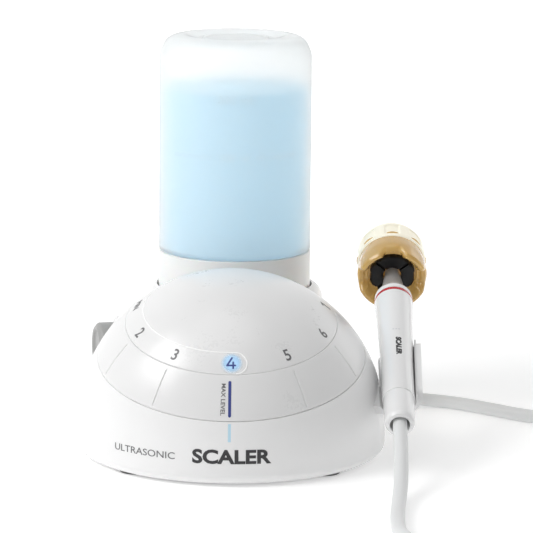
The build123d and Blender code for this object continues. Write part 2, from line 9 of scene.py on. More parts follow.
import bmesh
import bpy
from mathutils import Matrix, Vector
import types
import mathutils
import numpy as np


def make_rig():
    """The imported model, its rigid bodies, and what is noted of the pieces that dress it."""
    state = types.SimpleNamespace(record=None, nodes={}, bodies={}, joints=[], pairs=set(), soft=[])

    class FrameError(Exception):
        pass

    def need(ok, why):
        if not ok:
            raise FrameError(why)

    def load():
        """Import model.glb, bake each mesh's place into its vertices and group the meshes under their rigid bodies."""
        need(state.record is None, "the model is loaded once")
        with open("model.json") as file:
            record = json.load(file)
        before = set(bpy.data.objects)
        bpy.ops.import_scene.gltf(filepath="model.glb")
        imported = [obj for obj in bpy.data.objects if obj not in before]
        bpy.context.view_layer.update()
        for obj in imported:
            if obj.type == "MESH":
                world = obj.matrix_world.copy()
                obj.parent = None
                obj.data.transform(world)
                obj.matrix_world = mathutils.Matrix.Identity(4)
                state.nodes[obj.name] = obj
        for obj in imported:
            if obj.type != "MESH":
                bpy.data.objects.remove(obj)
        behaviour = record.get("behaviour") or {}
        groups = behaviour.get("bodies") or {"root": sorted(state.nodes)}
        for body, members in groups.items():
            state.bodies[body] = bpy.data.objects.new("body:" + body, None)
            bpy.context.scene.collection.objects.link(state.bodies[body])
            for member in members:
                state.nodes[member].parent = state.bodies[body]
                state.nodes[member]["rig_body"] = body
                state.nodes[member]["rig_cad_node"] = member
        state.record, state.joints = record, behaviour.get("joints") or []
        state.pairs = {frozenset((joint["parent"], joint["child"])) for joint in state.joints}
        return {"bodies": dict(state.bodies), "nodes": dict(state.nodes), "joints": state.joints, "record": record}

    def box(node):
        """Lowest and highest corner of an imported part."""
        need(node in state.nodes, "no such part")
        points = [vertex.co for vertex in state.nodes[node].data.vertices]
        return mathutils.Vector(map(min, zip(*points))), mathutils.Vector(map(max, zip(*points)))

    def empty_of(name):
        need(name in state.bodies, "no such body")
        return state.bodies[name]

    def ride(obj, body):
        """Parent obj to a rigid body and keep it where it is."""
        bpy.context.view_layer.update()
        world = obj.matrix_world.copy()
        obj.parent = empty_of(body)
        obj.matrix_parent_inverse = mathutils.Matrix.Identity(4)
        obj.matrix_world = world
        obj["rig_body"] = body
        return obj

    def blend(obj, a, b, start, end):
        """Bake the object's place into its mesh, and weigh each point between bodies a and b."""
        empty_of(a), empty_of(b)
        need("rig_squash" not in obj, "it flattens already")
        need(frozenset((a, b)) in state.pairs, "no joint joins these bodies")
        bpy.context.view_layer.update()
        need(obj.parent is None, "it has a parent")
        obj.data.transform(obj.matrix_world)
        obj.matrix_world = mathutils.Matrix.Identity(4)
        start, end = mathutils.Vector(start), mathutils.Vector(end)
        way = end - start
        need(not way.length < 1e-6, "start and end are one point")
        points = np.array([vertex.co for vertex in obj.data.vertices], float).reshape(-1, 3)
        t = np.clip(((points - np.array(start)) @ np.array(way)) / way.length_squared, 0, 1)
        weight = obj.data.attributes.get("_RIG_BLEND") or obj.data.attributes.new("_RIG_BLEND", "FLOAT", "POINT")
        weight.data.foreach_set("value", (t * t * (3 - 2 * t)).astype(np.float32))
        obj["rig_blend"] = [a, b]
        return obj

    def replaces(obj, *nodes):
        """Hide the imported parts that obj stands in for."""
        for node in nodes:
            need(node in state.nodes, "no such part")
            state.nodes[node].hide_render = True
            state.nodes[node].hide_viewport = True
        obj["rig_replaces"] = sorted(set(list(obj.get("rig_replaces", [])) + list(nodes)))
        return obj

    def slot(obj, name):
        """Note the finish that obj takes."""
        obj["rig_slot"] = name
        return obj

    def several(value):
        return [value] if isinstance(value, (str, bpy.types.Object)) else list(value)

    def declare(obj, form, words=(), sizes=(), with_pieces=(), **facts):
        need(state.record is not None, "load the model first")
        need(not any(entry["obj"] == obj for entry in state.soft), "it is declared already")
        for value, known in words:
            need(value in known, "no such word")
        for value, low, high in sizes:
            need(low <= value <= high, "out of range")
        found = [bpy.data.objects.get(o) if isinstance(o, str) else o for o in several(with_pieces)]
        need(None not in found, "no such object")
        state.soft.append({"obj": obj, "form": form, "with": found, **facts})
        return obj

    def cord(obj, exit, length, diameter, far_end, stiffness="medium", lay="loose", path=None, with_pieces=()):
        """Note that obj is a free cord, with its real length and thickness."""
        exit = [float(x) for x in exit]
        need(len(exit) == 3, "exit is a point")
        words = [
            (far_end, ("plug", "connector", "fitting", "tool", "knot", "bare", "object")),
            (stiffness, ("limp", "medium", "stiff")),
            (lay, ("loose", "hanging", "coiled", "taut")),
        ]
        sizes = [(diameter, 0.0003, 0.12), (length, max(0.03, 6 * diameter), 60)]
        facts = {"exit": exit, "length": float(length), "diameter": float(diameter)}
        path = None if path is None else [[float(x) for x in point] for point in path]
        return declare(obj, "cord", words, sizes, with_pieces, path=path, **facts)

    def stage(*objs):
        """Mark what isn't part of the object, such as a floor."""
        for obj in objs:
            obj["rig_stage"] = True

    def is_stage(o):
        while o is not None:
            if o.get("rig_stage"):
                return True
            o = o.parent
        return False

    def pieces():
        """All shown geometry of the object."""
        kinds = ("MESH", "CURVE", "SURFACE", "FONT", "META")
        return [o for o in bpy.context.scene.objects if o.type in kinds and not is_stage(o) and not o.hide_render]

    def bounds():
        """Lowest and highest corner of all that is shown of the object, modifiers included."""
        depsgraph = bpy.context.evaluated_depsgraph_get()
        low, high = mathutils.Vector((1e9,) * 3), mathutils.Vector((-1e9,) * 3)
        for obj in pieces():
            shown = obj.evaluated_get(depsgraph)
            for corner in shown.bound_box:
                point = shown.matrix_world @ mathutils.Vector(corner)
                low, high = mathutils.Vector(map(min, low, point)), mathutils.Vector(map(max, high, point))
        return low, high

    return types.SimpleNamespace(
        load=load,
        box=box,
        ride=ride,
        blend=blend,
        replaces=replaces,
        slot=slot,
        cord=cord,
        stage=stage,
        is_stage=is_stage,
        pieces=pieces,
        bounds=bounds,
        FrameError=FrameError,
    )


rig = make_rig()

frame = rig.load()
cad_low, cad_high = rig.bounds()

MM = 0.001
joints = {joint["name"]: joint for joint in frame["joints"]}
scene = bpy.context.scene

# ---------------------------------------------------------------- driving dimensions
dome_radius = 67.5 * MM
dome_centre = Vector((0, 0, 12 * MM))
cap_seam = math.radians(42.8)
dial_seam = math.radians(60.0)
number_angle = math.radians(38.4)
level_step = math.radians(34.3)
dial_wall = 2.2 * MM
dial_gap = 0.35 * MM

bottle_low, bottle_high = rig.box("bottle_shell")
bottle_axis = Vector(((bottle_low.x + bottle_high.x) / 2, (bottle_low.y + bottle_high.y) / 2, 0))
bottle_radius = (bottle_high.x - bottle_low.x) / 2
bottle_top = bottle_high.z
liquid_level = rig.box("irrigation_liquid")[1].z
collar_low, collar_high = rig.box("bottle_collar")
rear_face_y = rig.box("rear_panel")[0].y + 2.0 * MM

handpiece_origin = Vector((72.2, -45.0, 22.0)) * MM
cradle_start = 20 * MM
cradle_end = 63 * MM
cord_radius = 3.05 * MM
coil_centre = Vector((191.0, 8.0, 0.0)) * MM
lane_step = 6.2 * MM


# ---------------------------------------------------------------- places
def place(origin, axis, side):
    """Matrix whose local Z runs along axis and whose local X runs along side, from origin."""
    along = Vector(axis).normalized()
    across = Vector(side).normalized()
    return Matrix.Translation(origin) @ Matrix((across, along.cross(across), along)).transposed().to_4x4()


dial_axis = Vector(joints["dial_turn"]["axis"])
on_dial = place(dome_centre, dial_axis, (1, 0, 0))
on_bottle = place(bottle_axis, (0, 0, 1), (1, 0, 0))
on_handpiece = place(handpiece_origin, joints["wrench_pull"]["axis"], (1, 0, 0))
on_knob = place(Vector(joints["flow_knob_turn"]["pos_m"]), joints["flow_knob_turn"]["axis"], (0, 0, 1))


def dial_point(polar, turn, lift=0.0):
    """Point on the dial's sphere: polar from the dial's axis, turn from the front towards the right."""
    radius = dome_radius + lift
    flat = radius * math.sin(polar)
    return on_dial @ Vector((flat * math.sin(turn), -flat * math.cos(turn), radius * math.cos(polar)))


# ---------------------------------------------------------------- mesh helpers
def finished(name, bm, material, sharp_deg=32.0, recalculate=True):
    """Object from a bmesh: doubles merged, faces outwards, smooth with sharp edges kept."""
    bmesh.ops.remove_doubles(bm, verts=bm.verts, dist=2e-7)
    bmesh.ops.dissolve_degenerate(bm, edges=bm.edges, dist=1e-8)
    if recalculate:
        bmesh.ops.recalc_face_normals(bm, faces=bm.faces)
    mesh = bpy.data.meshes.new(name)
    bm.to_mesh(mesh)
    bm.free()
    mesh.materials.append(material)
    mesh.shade_smooth()
    mesh.set_sharp_from_angle(angle=math.radians(sharp_deg))
    piece = bpy.data.objects.new(name, mesh)
    scene.collection.objects.link(piece)
    return piece


def rounded(corners, steps=5):
    """Closed outline in which each (radius, height, rounding) corner becomes a short arc."""
    points = []
    for index, (x, y, rounding) in enumerate(corners):
        here = Vector((x, y))
        if rounding == 0:
            points.append(here)
            continue
        back = Vector(corners[index - 1][:2]) - here
        ahead = Vector(corners[(index + 1) % len(corners)][:2]) - here
        half = back.angle(ahead) / 2
        reach = min(rounding / math.tan(half), 0.48 * back.length, 0.48 * ahead.length)
        radius = reach * math.tan(half)
        centre = here + (back.normalized() + ahead.normalized()).normalized() * radius / math.sin(half)
        first = here + back.normalized() * reach - centre
        last = here + ahead.normalized() * reach - centre
        sweep = first.angle(last)
        for step in range(steps + 1):
            share = step / steps
            spoke = first * math.sin((1 - share) * sweep) + last * math.sin(share * sweep)
            points.append(centre + spoke / math.sin(sweep))
    return points


def turned_by_rule(bm, rule, at, turns):
    """Adds a closed ring of sections to bm: rule(turn) gives one closed (radius, height) outline."""
    sections = []
    for turn in turns:
        side = (math.cos(turn), math.sin(turn))
        corners = [(r, Vector((r * side[0], r * side[1], h))) for r, h in rule(turn)]
        sections.append([(r, bm.verts.new(at @ corner)) for r, corner in corners])
    for one, two in zip(sections, sections[1:] + sections[:1]):
        for index in range(len(one)):
            after = (index + 1) % len(one)
            if one[index][0] < 1e-9 and one[after][0] < 1e-9:
                continue
            corners = [one[index][1], one[after][1], two[after][1], two[index][1]]
            bm.faces.new(corners)


def even_turns(count):
    return [2 * math.pi * index / count for index in range(count)]


def lathe(name, corners, at, material, segments=96, steps=5, sharp_deg=32.0):
    """Turned piece from one outline of (radius, height, rounding) corners in millimetres."""
    outline = rounded([(r * MM, h * MM, rounding * MM) for r, h, rounding in corners], steps)
    bm = bmesh.new()
    turned_by_rule(bm, lambda turn: outline, at, even_turns(segments))
    return finished(name, bm, material, sharp_deg)


def tube(bm, points, radius, sides=20):
    """Adds a round tube with closed ends along points; radius is a number or a function of the share."""
    points = [Vector(p) for p in points]
    radius_at = radius if callable(radius) else lambda share: radius
    along = (points[1] - points[0]).normalized()
    side = along.orthogonal().normalized()
    rings = []
    for index, point in enumerate(points):
        ahead = points[min(index + 1, len(points) - 1)] - points[max(index - 1, 0)]
        ahead.normalize()
        side = (side - ahead * side.dot(ahead)).normalized()
        across = ahead.cross(side)
        reach = radius_at(index / (len(points) - 1))
        ring = []
        for turn in even_turns(sides):
            ring.append(bm.verts.new(point + (side * math.cos(turn) + across * math.sin(turn)) * reach))
        rings.append(ring)
    for one, two in zip(rings, rings[1:]):
        for index in range(sides):
            after = (index + 1) % sides
            bm.faces.new((one[index], one[after], two[after], two[index]))
    bm.faces.new(rings[0][::-1])
    bm.faces.new(rings[-1])


def ridden(piece, body, slot, *nodes):
    """The piece rides on a body, takes its finish from a slot and stands for the nodes."""
    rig.ride(piece, body)
    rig.slot(piece, slot)
    if nodes:
        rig.replaces(piece, *nodes)
    return piece


# ---------------------------------------------------------------- shader groups
def new_group(name, inputs, outputs):
    """Empty shader group with named sockets; inputs are (name, type, value)."""
    tree = bpy.data.node_groups.new(name, "ShaderNodeTree")
    for socket_name, kind, value in inputs:
        socket = tree.interface.new_socket(name=socket_name, in_out="INPUT", socket_type=kind)
        socket.default_value = value
    for socket_name, kind in outputs:
        tree.interface.new_socket(name=socket_name, in_out="OUTPUT", socket_type=kind)
    return tree, tree.nodes.new("NodeGroupInput"), tree.nodes.new("NodeGroupOutput")


def node(tree, kind, settings=None, links=None):
    """New node with its settings, and its inputs set from numbers or linked from sockets."""
    made = tree.nodes.new(kind)
    for key, value in (settings or {}).items():
        setattr(made, key, value)
    for key, value in (links or {}).items():
        if isinstance(value, bpy.types.NodeSocket):
            tree.links.new(value, made.inputs[key])
        else:
            made.inputs[key].default_value = value
    return made


def build_moulded_grain():
    """Fine moulding texture: a height, a roughness that wanders, and a slow mottle of the colour."""
    tree, given, out = new_group(
        "moulded_grain",
        [
            ("Scale", "NodeSocketFloat", 900.0),
            ("Low Roughness", "NodeSocketFloat", 0.3),
            ("High Roughness", "NodeSocketFloat", 0.4),
        ],
        [("Height", "NodeSocketFloat"), ("Roughness", "NodeSocketFloat"), ("Mottle", "NodeSocketFloat")],
    )
    where = node(tree, "ShaderNodeTexCoord").outputs["Object"]
    fine = node(tree, "ShaderNodeTexNoise", None,
                {"Vector": where, "Scale": given.outputs["Scale"], "Detail": 3.0, "Roughness": 0.6})
    slow = node(tree, "ShaderNodeTexNoise", None, {"Vector": where, "Scale": 38.0, "Detail": 4.0})
    blend = node(tree, "ShaderNodeMath", {"operation": "MULTIPLY_ADD"},
                 {0: fine.outputs["Fac"], 1: 0.35, 2: slow.outputs["Fac"]})
    wander = node(tree, "ShaderNodeMapRange", None,
                  {"Value": blend.outputs[0], "From Min": 0.45, "From Max": 0.95,
                   "To Min": given.outputs["Low Roughness"], "To Max": given.outputs["High Roughness"]})
    tree.links.new(fine.outputs["Fac"], out.inputs["Height"])
    tree.links.new(wander.outputs["Result"], out.inputs["Roughness"])
    tree.links.new(slow.outputs["Fac"], out.inputs["Mottle"])
    return tree


def build_edge_wear_and_sheen():
    """Mask of the convex and concave edges, broken up by noise, for handling wear and a painted sheen on the edges."""
    tree, given, out = new_group(
        "edge_wear_and_sheen",
        [("Radius", "NodeSocketFloat", 0.0006), ("Breakup", "NodeSocketFloat", 260.0)],
        [("Mask", "NodeSocketFloat")],
    )
    soft = node(tree, "ShaderNodeBevel", {"samples": 4}, {"Radius": given.outputs["Radius"]})
    hard = node(tree, "ShaderNodeNewGeometry")
    facing = node(tree, "ShaderNodeVectorMath", {"operation": "DOT_PRODUCT"},
                  {0: soft.outputs["Normal"], 1: hard.outputs["Normal"]})
    edge = node(tree, "ShaderNodeMapRange", None,
                {"Value": facing.outputs["Value"], "From Min": 0.995, "From Max": 0.8,
                 "To Min": 0.0, "To Max": 1.0})
    where = node(tree, "ShaderNodeTexCoord").outputs["Object"]
    noise = node(tree, "ShaderNodeTexNoise", None,
                 {"Vector": where, "Scale": given.outputs["Breakup"], "Detail": 3.0})
    broken = node(tree, "ShaderNodeMapRange", None,
                  {"Value": noise.outputs["Fac"], "From Min": 0.35, "From Max": 0.65,
                   "To Min": 0.35, "To Max": 1.0})
    mask = node(tree, "ShaderNodeMath", {"operation": "MULTIPLY"},
                {0: edge.outputs["Result"], 1: broken.outputs["Result"]})
    tree.links.new(mask.outputs[0], out.inputs["Mask"])
    return tree


moulded_grain = build_moulded_grain()
edge_wear_and_sheen = build_edge_wear_and_sheen()


def mixed(tree, factor, first, second):
    """Colour mix node's result; first and second are colours or sockets."""
    mix = tree.nodes.new("ShaderNodeMix")
    mix.data_type = "RGBA"
    for socket, value in ((mix.inputs[0], factor), (mix.inputs[6], first), (mix.inputs[7], second)):
        if isinstance(value, bpy.types.NodeSocket):
            tree.links.new(value, socket)
        elif isinstance(value, float):
            socket.default_value = value
        else:
            socket.default_value = (*value, 1.0)
    return mix.outputs[2]


def surface(name, colour, roughness, grain=900.0, bump=0.05, mottle=0.97, wear_and_sheen=None, wear_and_sheen_radius=0.0006,
            **plain):
    """Material with grain, wandering roughness, slow mottle and lighter edges of wear and painted sheen; plain sets
    the shader's sockets.
    """
    material = bpy.data.materials.new(name)
    material.use_nodes = True
    tree = material.node_tree
    shader = tree.nodes["Principled BSDF"]
    for socket, value in plain.items():
        shader.inputs[socket.replace("_", " ")].default_value = value
    texture = node(tree, "ShaderNodeGroup", {"node_tree": moulded_grain},
                   {"Scale": grain, "Low Roughness": roughness[0], "High Roughness": roughness[1]})
    tree.links.new(texture.outputs["Roughness"], shader.inputs["Roughness"])
    darker = [channel * mottle for channel in colour]
    paint = mixed(tree, texture.outputs["Mottle"], darker, colour)
    # Lighter edge colour: handling wear with a painted sheen, and on the amber wrench a painted highlight.
    if wear_and_sheen is not None:
        wear_and_sheen_edges = node(tree, "ShaderNodeGroup", {"node_tree": edge_wear_and_sheen}, {"Radius": wear_and_sheen_radius})
        paint = mixed(tree, wear_and_sheen_edges.outputs["Mask"], paint, wear_and_sheen)
    tree.links.new(paint, shader.inputs["Base Color"])
    bumps = node(tree, "ShaderNodeBump", None,
                 {"Strength": bump, "Distance": 0.0002, "Height": texture.outputs["Height"]})
    tree.links.new(bumps.outputs["Normal"], shader.inputs["Normal"])
    return material


# ---------------------------------------------------------------- finishes
casing_white = surface("casing_white", (0.82, 0.82, 0.82), (0.30, 0.38), wear_and_sheen=(0.84, 0.84, 0.84),
                       Coat_Weight=0.25, Coat_Roughness=0.28)
dial_white = surface("dial_white", (0.84, 0.84, 0.84), (0.26, 0.34),
                     Coat_Weight=0.3, Coat_Roughness=0.24)
plate_grey = surface("plate_grey", (0.30, 0.30, 0.31), (0.5, 0.62), grain=500.0, bump=0.2,
                     wear_and_sheen=(0.40, 0.40, 0.41))
foot_rubber = surface("foot_rubber", (0.035, 0.035, 0.036), (0.75, 0.9), grain=350.0, bump=0.3,
                      wear_and_sheen=(0.09, 0.09, 0.09))
screw_steel = surface("screw_steel", (0.55, 0.55, 0.57), (0.24, 0.38), grain=1600.0, wear_and_sheen=(0.75, 0.75, 0.76),
                      Metallic=1.0)
inner_plastic = surface("inner_plastic", (0.06, 0.06, 0.065), (0.4, 0.55), bump=0.15, wear_and_sheen=(0.12, 0.12, 0.13))
bearing_bronze = surface("bearing_bronze", (0.55, 0.36, 0.16), (0.35, 0.5), grain=1400.0, bump=0.1,
                         Metallic=1.0)
board_green = surface("board_green", (0.015, 0.12, 0.05), (0.3, 0.45), wear_and_sheen=(0.5, 0.42, 0.2))
copper_wire = surface("copper_wire", (0.6, 0.25, 0.1), (0.25, 0.4), grain=700.0, bump=0.4, Metallic=1.0)
heat_sink_black = surface("heat_sink_black", (0.05, 0.05, 0.055), (0.4, 0.5), wear_and_sheen=(0.4, 0.4, 0.42),
                          Metallic=0.8)
collar_white = surface("collar_white", (0.84, 0.85, 0.85), (0.28, 0.36), wear_and_sheen=(0.9, 0.9, 0.9),
                       Subsurface_Weight=0.15, Subsurface_Scale=0.004)
soft_tube = surface("soft_tube", (0.66, 0.68, 0.68), (0.35, 0.45))
knob_grey = surface("knob_grey", (0.36, 0.36, 0.355), (0.36, 0.46), bump=0.1, wear_and_sheen=(0.55, 0.55, 0.55))
handpiece_white = surface("handpiece_white", (0.86, 0.86, 0.86), (0.16, 0.24), grain=1500.0, bump=0.02,
                          Coat_Weight=0.5, Coat_Roughness=0.12)
ring_red = surface("ring_red", (0.50, 0.004, 0.012), (0.22, 0.3), grain=1500.0, bump=0.02,
                   wear_and_sheen=(0.6, 0.05, 0.06), Coat_Weight=0.5)
nose_steel = surface("nose_steel", (0.66, 0.66, 0.67), (0.26, 0.38), grain=2400.0, wear_and_sheen=(0.8, 0.8, 0.81),
                     wear_and_sheen_radius=0.0003, Metallic=0.55)
titanium = surface("titanium", (0.35, 0.35, 0.36), (0.28, 0.4), grain=1800.0, Metallic=1.0)
ceramic = surface("ceramic", (0.75, 0.68, 0.55), (0.5, 0.6), grain=600.0)
# Emission gives the cream grip a painted glow, brighter than the light that falls on it.
wrench_cream = surface("wrench_cream", (0.95, 0.91, 0.76), (0.28, 0.36), wear_and_sheen=(0.97, 0.95, 0.88),
                       Coat_Weight=0.4, Coat_Roughness=0.2, Emission_Color=(1.0, 0.93, 0.76, 1.0),
                       Emission_Strength=0.2)
insert_black = surface("insert_black", (0.006, 0.006, 0.007), (0.3, 0.42), grain=1200.0, bump=0.04,
                       wear_and_sheen=(0.05, 0.05, 0.05), Specular_IOR_Level=0.3)
liner_pale = surface("liner_pale", (0.76, 0.76, 0.76), (0.5, 0.65), grain=500.0, bump=0.2)
panel_white = surface("panel_white", (0.72, 0.72, 0.73), (0.38, 0.5), grain=600.0, bump=0.15,
                      wear_and_sheen=(0.82, 0.82, 0.82))
socket_black = surface("socket_black", (0.02, 0.02, 0.021), (0.38, 0.5), grain=700.0, bump=0.15,
                       wear_and_sheen=(0.07, 0.07, 0.07))
cord_grey = surface("cord_grey", (0.80, 0.81, 0.81), (0.36, 0.46), grain=650.0, bump=0.12, mottle=0.94)
print_grey = surface("print_grey", (0.16, 0.16, 0.165), (0.4, 0.5), grain=1800.0, bump=0.03)
print_dark = surface("print_dark", (0.035, 0.035, 0.037), (0.35, 0.45), grain=1800.0, bump=0.03)
print_blue = surface("print_blue", (0.055, 0.075, 0.28), (0.35, 0.45), grain=1800.0, bump=0.03)
print_faint = surface("print_faint", (0.62, 0.63, 0.65), (0.35, 0.45), grain=1800.0, bump=0.03)
# White print on the rocker and a painted highlight on the dial's range edge; the emission is a painted glow on both.
white_print_and_highlight = surface("white_print_and_highlight", (0.9, 0.9, 0.9), (0.35, 0.45), grain=1800.0, bump=0.03,
                      Emission_Color=(1.0, 1.0, 1.0, 1.0), Emission_Strength=0.15)
light_guide = surface("light_guide", (0.36, 0.68, 0.95), (0.25, 0.32), grain=1500.0, bump=0.02,
                      Emission_Color=(0.42, 0.74, 1.0, 1.0), Emission_Strength=0.35)


# ---------------------------------------------------------------- camera
def add_camera():
    """Long lens in front of the unit, a little above it and looking down."""
    lens = bpy.data.cameras.new("camera")
    lens.lens = 209.4
    lens.sensor_width = 36.0
    lens.clip_end = 20.0
    camera = bpy.data.objects.new("camera", lens)
    pitch, roll = math.radians(90.0 - 10.94), math.radians(0.5)
    camera.matrix_world = (
        Matrix.Translation((0.0149, -1.325, 0.3377))
        @ Matrix.Rotation(pitch, 4, "X")
        @ Matrix.Rotation(roll, 4, "Z")
    )
    scene.collection.objects.link(camera)
    scene.camera = camera


add_camera()


# ---------------------------------------------------------------- cords
def smooth_route(name, route):
    """Points of the smooth line that has the route's points as its controls."""
    line = bpy.data.curves.new(name + "_line", "CURVE")
    line.dimensions = "3D"
    line.resolution_u = 10
    spline = line.splines.new("NURBS")
    spline.points.add(len(route) - 1)
    for control, point in zip(spline.points, route):
        control.co = (*point, 1.0)
    spline.order_u = 3
    spline.use_endpoint_u = True
    holder = bpy.data.objects.new(name + "_line", line)
    scene.collection.objects.link(holder)
    bpy.context.view_layer.update()
    mesh = bpy.data.meshes.new_from_object(holder.evaluated_get(bpy.context.evaluated_depsgraph_get()))
    points = [vertex.co.copy() for vertex in mesh.vertices]
    bpy.data.meshes.remove(mesh)
    bpy.data.objects.remove(holder)
    bpy.data.curves.remove(line)
    return points


def cord_piece(name, route):
    """Mesh tube on the smooth line of a route, with the line's points and its length."""
    points = smooth_route(name, route)
    bm = bmesh.new()
    tube(bm, points, cord_radius, sides=20)
    piece = finished(name, bm, cord_grey, sharp_deg=50.0)
    return piece, points, sum((b - a).length for a, b in zip(points, points[1:]))


def eased(share):
    """Smooth step from 0 to 1."""
    share = min(1.0, max(0.0, share))
    return share * share * (3 - 2 * share)


def coil_route(per_turn=24):
    """Stored turns: four lanes inwards on the table, then outwards again on top of them."""
    lanes = [42.3 * MM - lane_step * index for index in range(4)]
    low, high = cord_radius, 3 * cord_radius + 0.1 * MM
    # radius and height at the start of each turn, and the share of the turn where both change
    turns = [
        (lanes[0], lanes[1], low, low, 0.75, 1.0),
        (lanes[1], lanes[2], low, low, 0.75, 1.0),
        (lanes[2], lanes[3], low, low, 0.75, 1.0),
        (lanes[3], lanes[3], low, high, 0.5, 0.75),
        (lanes[3], lanes[2], high, high, 0.25, 0.5),
        (lanes[2], lanes[1], high, high, 0.25, 0.5),
        (lanes[1], lanes[0], high, high, 0.25, 0.5),
    ]
    points = []
    for index, (r0, r1, z0, z1, start, end) in enumerate(turns):
        last_turn = index == len(turns) - 1
        for step in range(per_turn // 2 + 1 if last_turn else per_turn):
            share = step / per_turn
            moved = eased((share - start) / (end - start))
            radius, height = r0 + (r1 - r0) * moved, z0 + (z1 - z0) * moved
            turn = math.pi / 2 - 2 * math.pi * share
            points.append(coil_centre + Vector((radius * math.cos(turn), radius * math.sin(turn), height)))
    return points


def add_cords():
    """The handpiece's cord: out of the strain relief, round the stored coil, and back to the handpiece."""
    relief_end = Vector((71.48, 78.59, 5.42)) * MM
    supply_route = [
        (71.48, 78.59, 5.42), (80.09, 80.89, 4.17), (92, 82, 3.05), (105, 76, 3.05), (119, 65, 3.05),
        (133, 53, 3.05), (147, 47.3, 3.05), (161, 46.6, 3.05), (176.1, 48.9, 3.05),
    ]
    route = [Vector(point) * MM for point in supply_route] + coil_route()
    supply, points, length = cord_piece("supply_cord", route)
    ridden(supply, "unit", "cord_grey", "cord_supply_run", "cord_coil")
    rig.cord(supply, exit=relief_end, length=length, diameter=2 * cord_radius, far_end="object",
            stiffness="limp", lay="coiled", path=points)
    handpiece_route = [
        (191, -34.3, 9.25), (181, -35, 8.6), (171, -37.5, 4.6), (160, -42.5, 3.05), (150, -51, 3.05),
        (143, -65, 3.05), (139.5, -88, 3.05), (140, -120, 3.05), (139, -152, 3.05), (126, -171, 3.05),
        (104, -178, 3.05), (82, -171, 3.05), (68.5, -152, 3.05), (68, -124, 3.05), (70, -98, 3.05),
        (71.5, -81, 6.6), (72.2, -63.02, 14.54), (72.2, -45.46, 21.81),
    ]
    inside_collar = on_handpiece @ Vector((0, 0, 6 * MM))
    route = [Vector(point) * MM for point in handpiece_route] + [inside_collar]
    run, points, length = cord_piece("handpiece_cord", route)
    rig.blend(run, "unit", "handpiece", start=(0.116, -0.079, 0.0), end=(0.072, -0.046, 0.0))
    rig.slot(run, "cord_grey")
    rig.replaces(run, "cord_handpiece_run")
    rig.cord(run, exit=points[0], length=length, diameter=2 * cord_radius, far_end="object",
            stiffness="limp", lay="loose", path=points)


add_cords()


# ---------------------------------------------------------------- lettering and raised marks
def wrapped(bm, part, wrap, longest=0.9 * MM):
    """Adds a flat solid to bm after cutting its long edges and wrapping it on a surface."""
    bmesh.ops.remove_doubles(part, verts=part.verts, dist=1e-7)
    bmesh.ops.triangulate(part, faces=part.faces)
    for _ in range(4):
        long_edges = [edge for edge in part.edges if edge.calc_length() > longest]
        if not long_edges:
            break
        bmesh.ops.subdivide_edges(part, edges=long_edges, cuts=1)
        bmesh.ops.triangulate(part, faces=part.faces)
    for vertex in part.verts:
        vertex.co = wrap(*vertex.co)
    carried = bpy.data.meshes.new("part")
    part.to_mesh(carried)
    part.free()
    bm.from_mesh(carried)
    bpy.data.meshes.remove(carried)


def letters(bm, text, height, wrap, width=None, weight=0.0, lift=0.08 * MM, sunk=0.1 * MM):
    """Adds raised text to bm, that high and wide, wrapped by wrap(right, up, out)."""
    font = bpy.data.curves.new("words", "FONT")
    font.body = text
    font.offset = weight
    font.extrude = 0.5
    font.resolution_u = 4
    holder = bpy.data.objects.new("words", font)
    scene.collection.objects.link(holder)
    bpy.context.view_layer.update()
    mesh = bpy.data.meshes.new_from_object(holder.evaluated_get(bpy.context.evaluated_depsgraph_get()))
    part = bmesh.new()
    part.from_mesh(mesh)
    bpy.data.objects.remove(holder)
    bpy.data.curves.remove(font)
    bpy.data.meshes.remove(mesh)
    across = [vertex.co.x for vertex in part.verts]
    upward = [vertex.co.y for vertex in part.verts]
    middle = ((min(across) + max(across)) / 2, (min(upward) + max(upward)) / 2)
    tall = height / (max(upward) - min(upward))
    wide = tall * 0.9 if width is None else width / (max(across) - min(across))
    for vertex in part.verts:
        x, y, z = vertex.co
        vertex.co = ((x - middle[0]) * wide, (y - middle[1]) * tall, (z + 0.5) * (lift + sunk) - sunk)
    wrapped(bm, part, wrap)


def raised_shape(bm, outline, wrap, lift=0.08 * MM, sunk=0.1 * MM):
    """Adds a raised flat shape with that (right, up) outline, wrapped by wrap(right, up, out)."""
    part = bmesh.new()
    low = [part.verts.new((x, y, -sunk)) for x, y in outline]
    high = [part.verts.new((x, y, lift)) for x, y in outline]
    part.faces.new(low[::-1])
    part.faces.new(high)
    for index in range(len(outline)):
        after = (index + 1) % len(outline)
        part.faces.new((low[index], low[after], high[after], high[index]))
    wrapped(bm, part, wrap)


def capsule(length, width, steps=8):
    """Outline of an upright bar with round ends."""
    radius, half = width / 2, (length - width) / 2
    top = [(radius * math.cos(math.pi * i / steps), half + radius * math.sin(math.pi * i / steps))
           for i in range(steps + 1)]
    return top + [(-x, -y) for x, y in top]


def pen_stroke(first, second, width):
    """Outline of a round-ended stroke between two (right, up) points."""
    along = Vector(second) - Vector(first)
    middle = (Vector(first) + Vector(second)) / 2
    turn = Matrix.Rotation(math.atan2(-along.x, along.y), 2)
    return [tuple(middle + turn @ Vector(point)) for point in capsule(along.length + width, width)]


def on_sphere_of_dial(polar, turn, spin=0.0):
    """Wrap on the dial: up runs towards the apex, unless spin turns it clockwise."""
    centre = Vector(dome_centre)
    outwards = (dial_point(polar, turn) - centre).normalized()
    upwards = (dial_point(polar - 0.01, turn) - dial_point(polar + 0.01, turn)).normalized()
    rightwards = upwards.cross(outwards)
    cos_spin, sin_spin = math.cos(spin), math.sin(spin)

    def wrap(right, up, out):
        u, v = right * cos_spin + up * sin_spin, up * cos_spin - right * sin_spin
        direction = (outwards * dome_radius + rightwards * u + upwards * v).normalized()
        return centre + direction * (dome_radius + out)

    return wrap


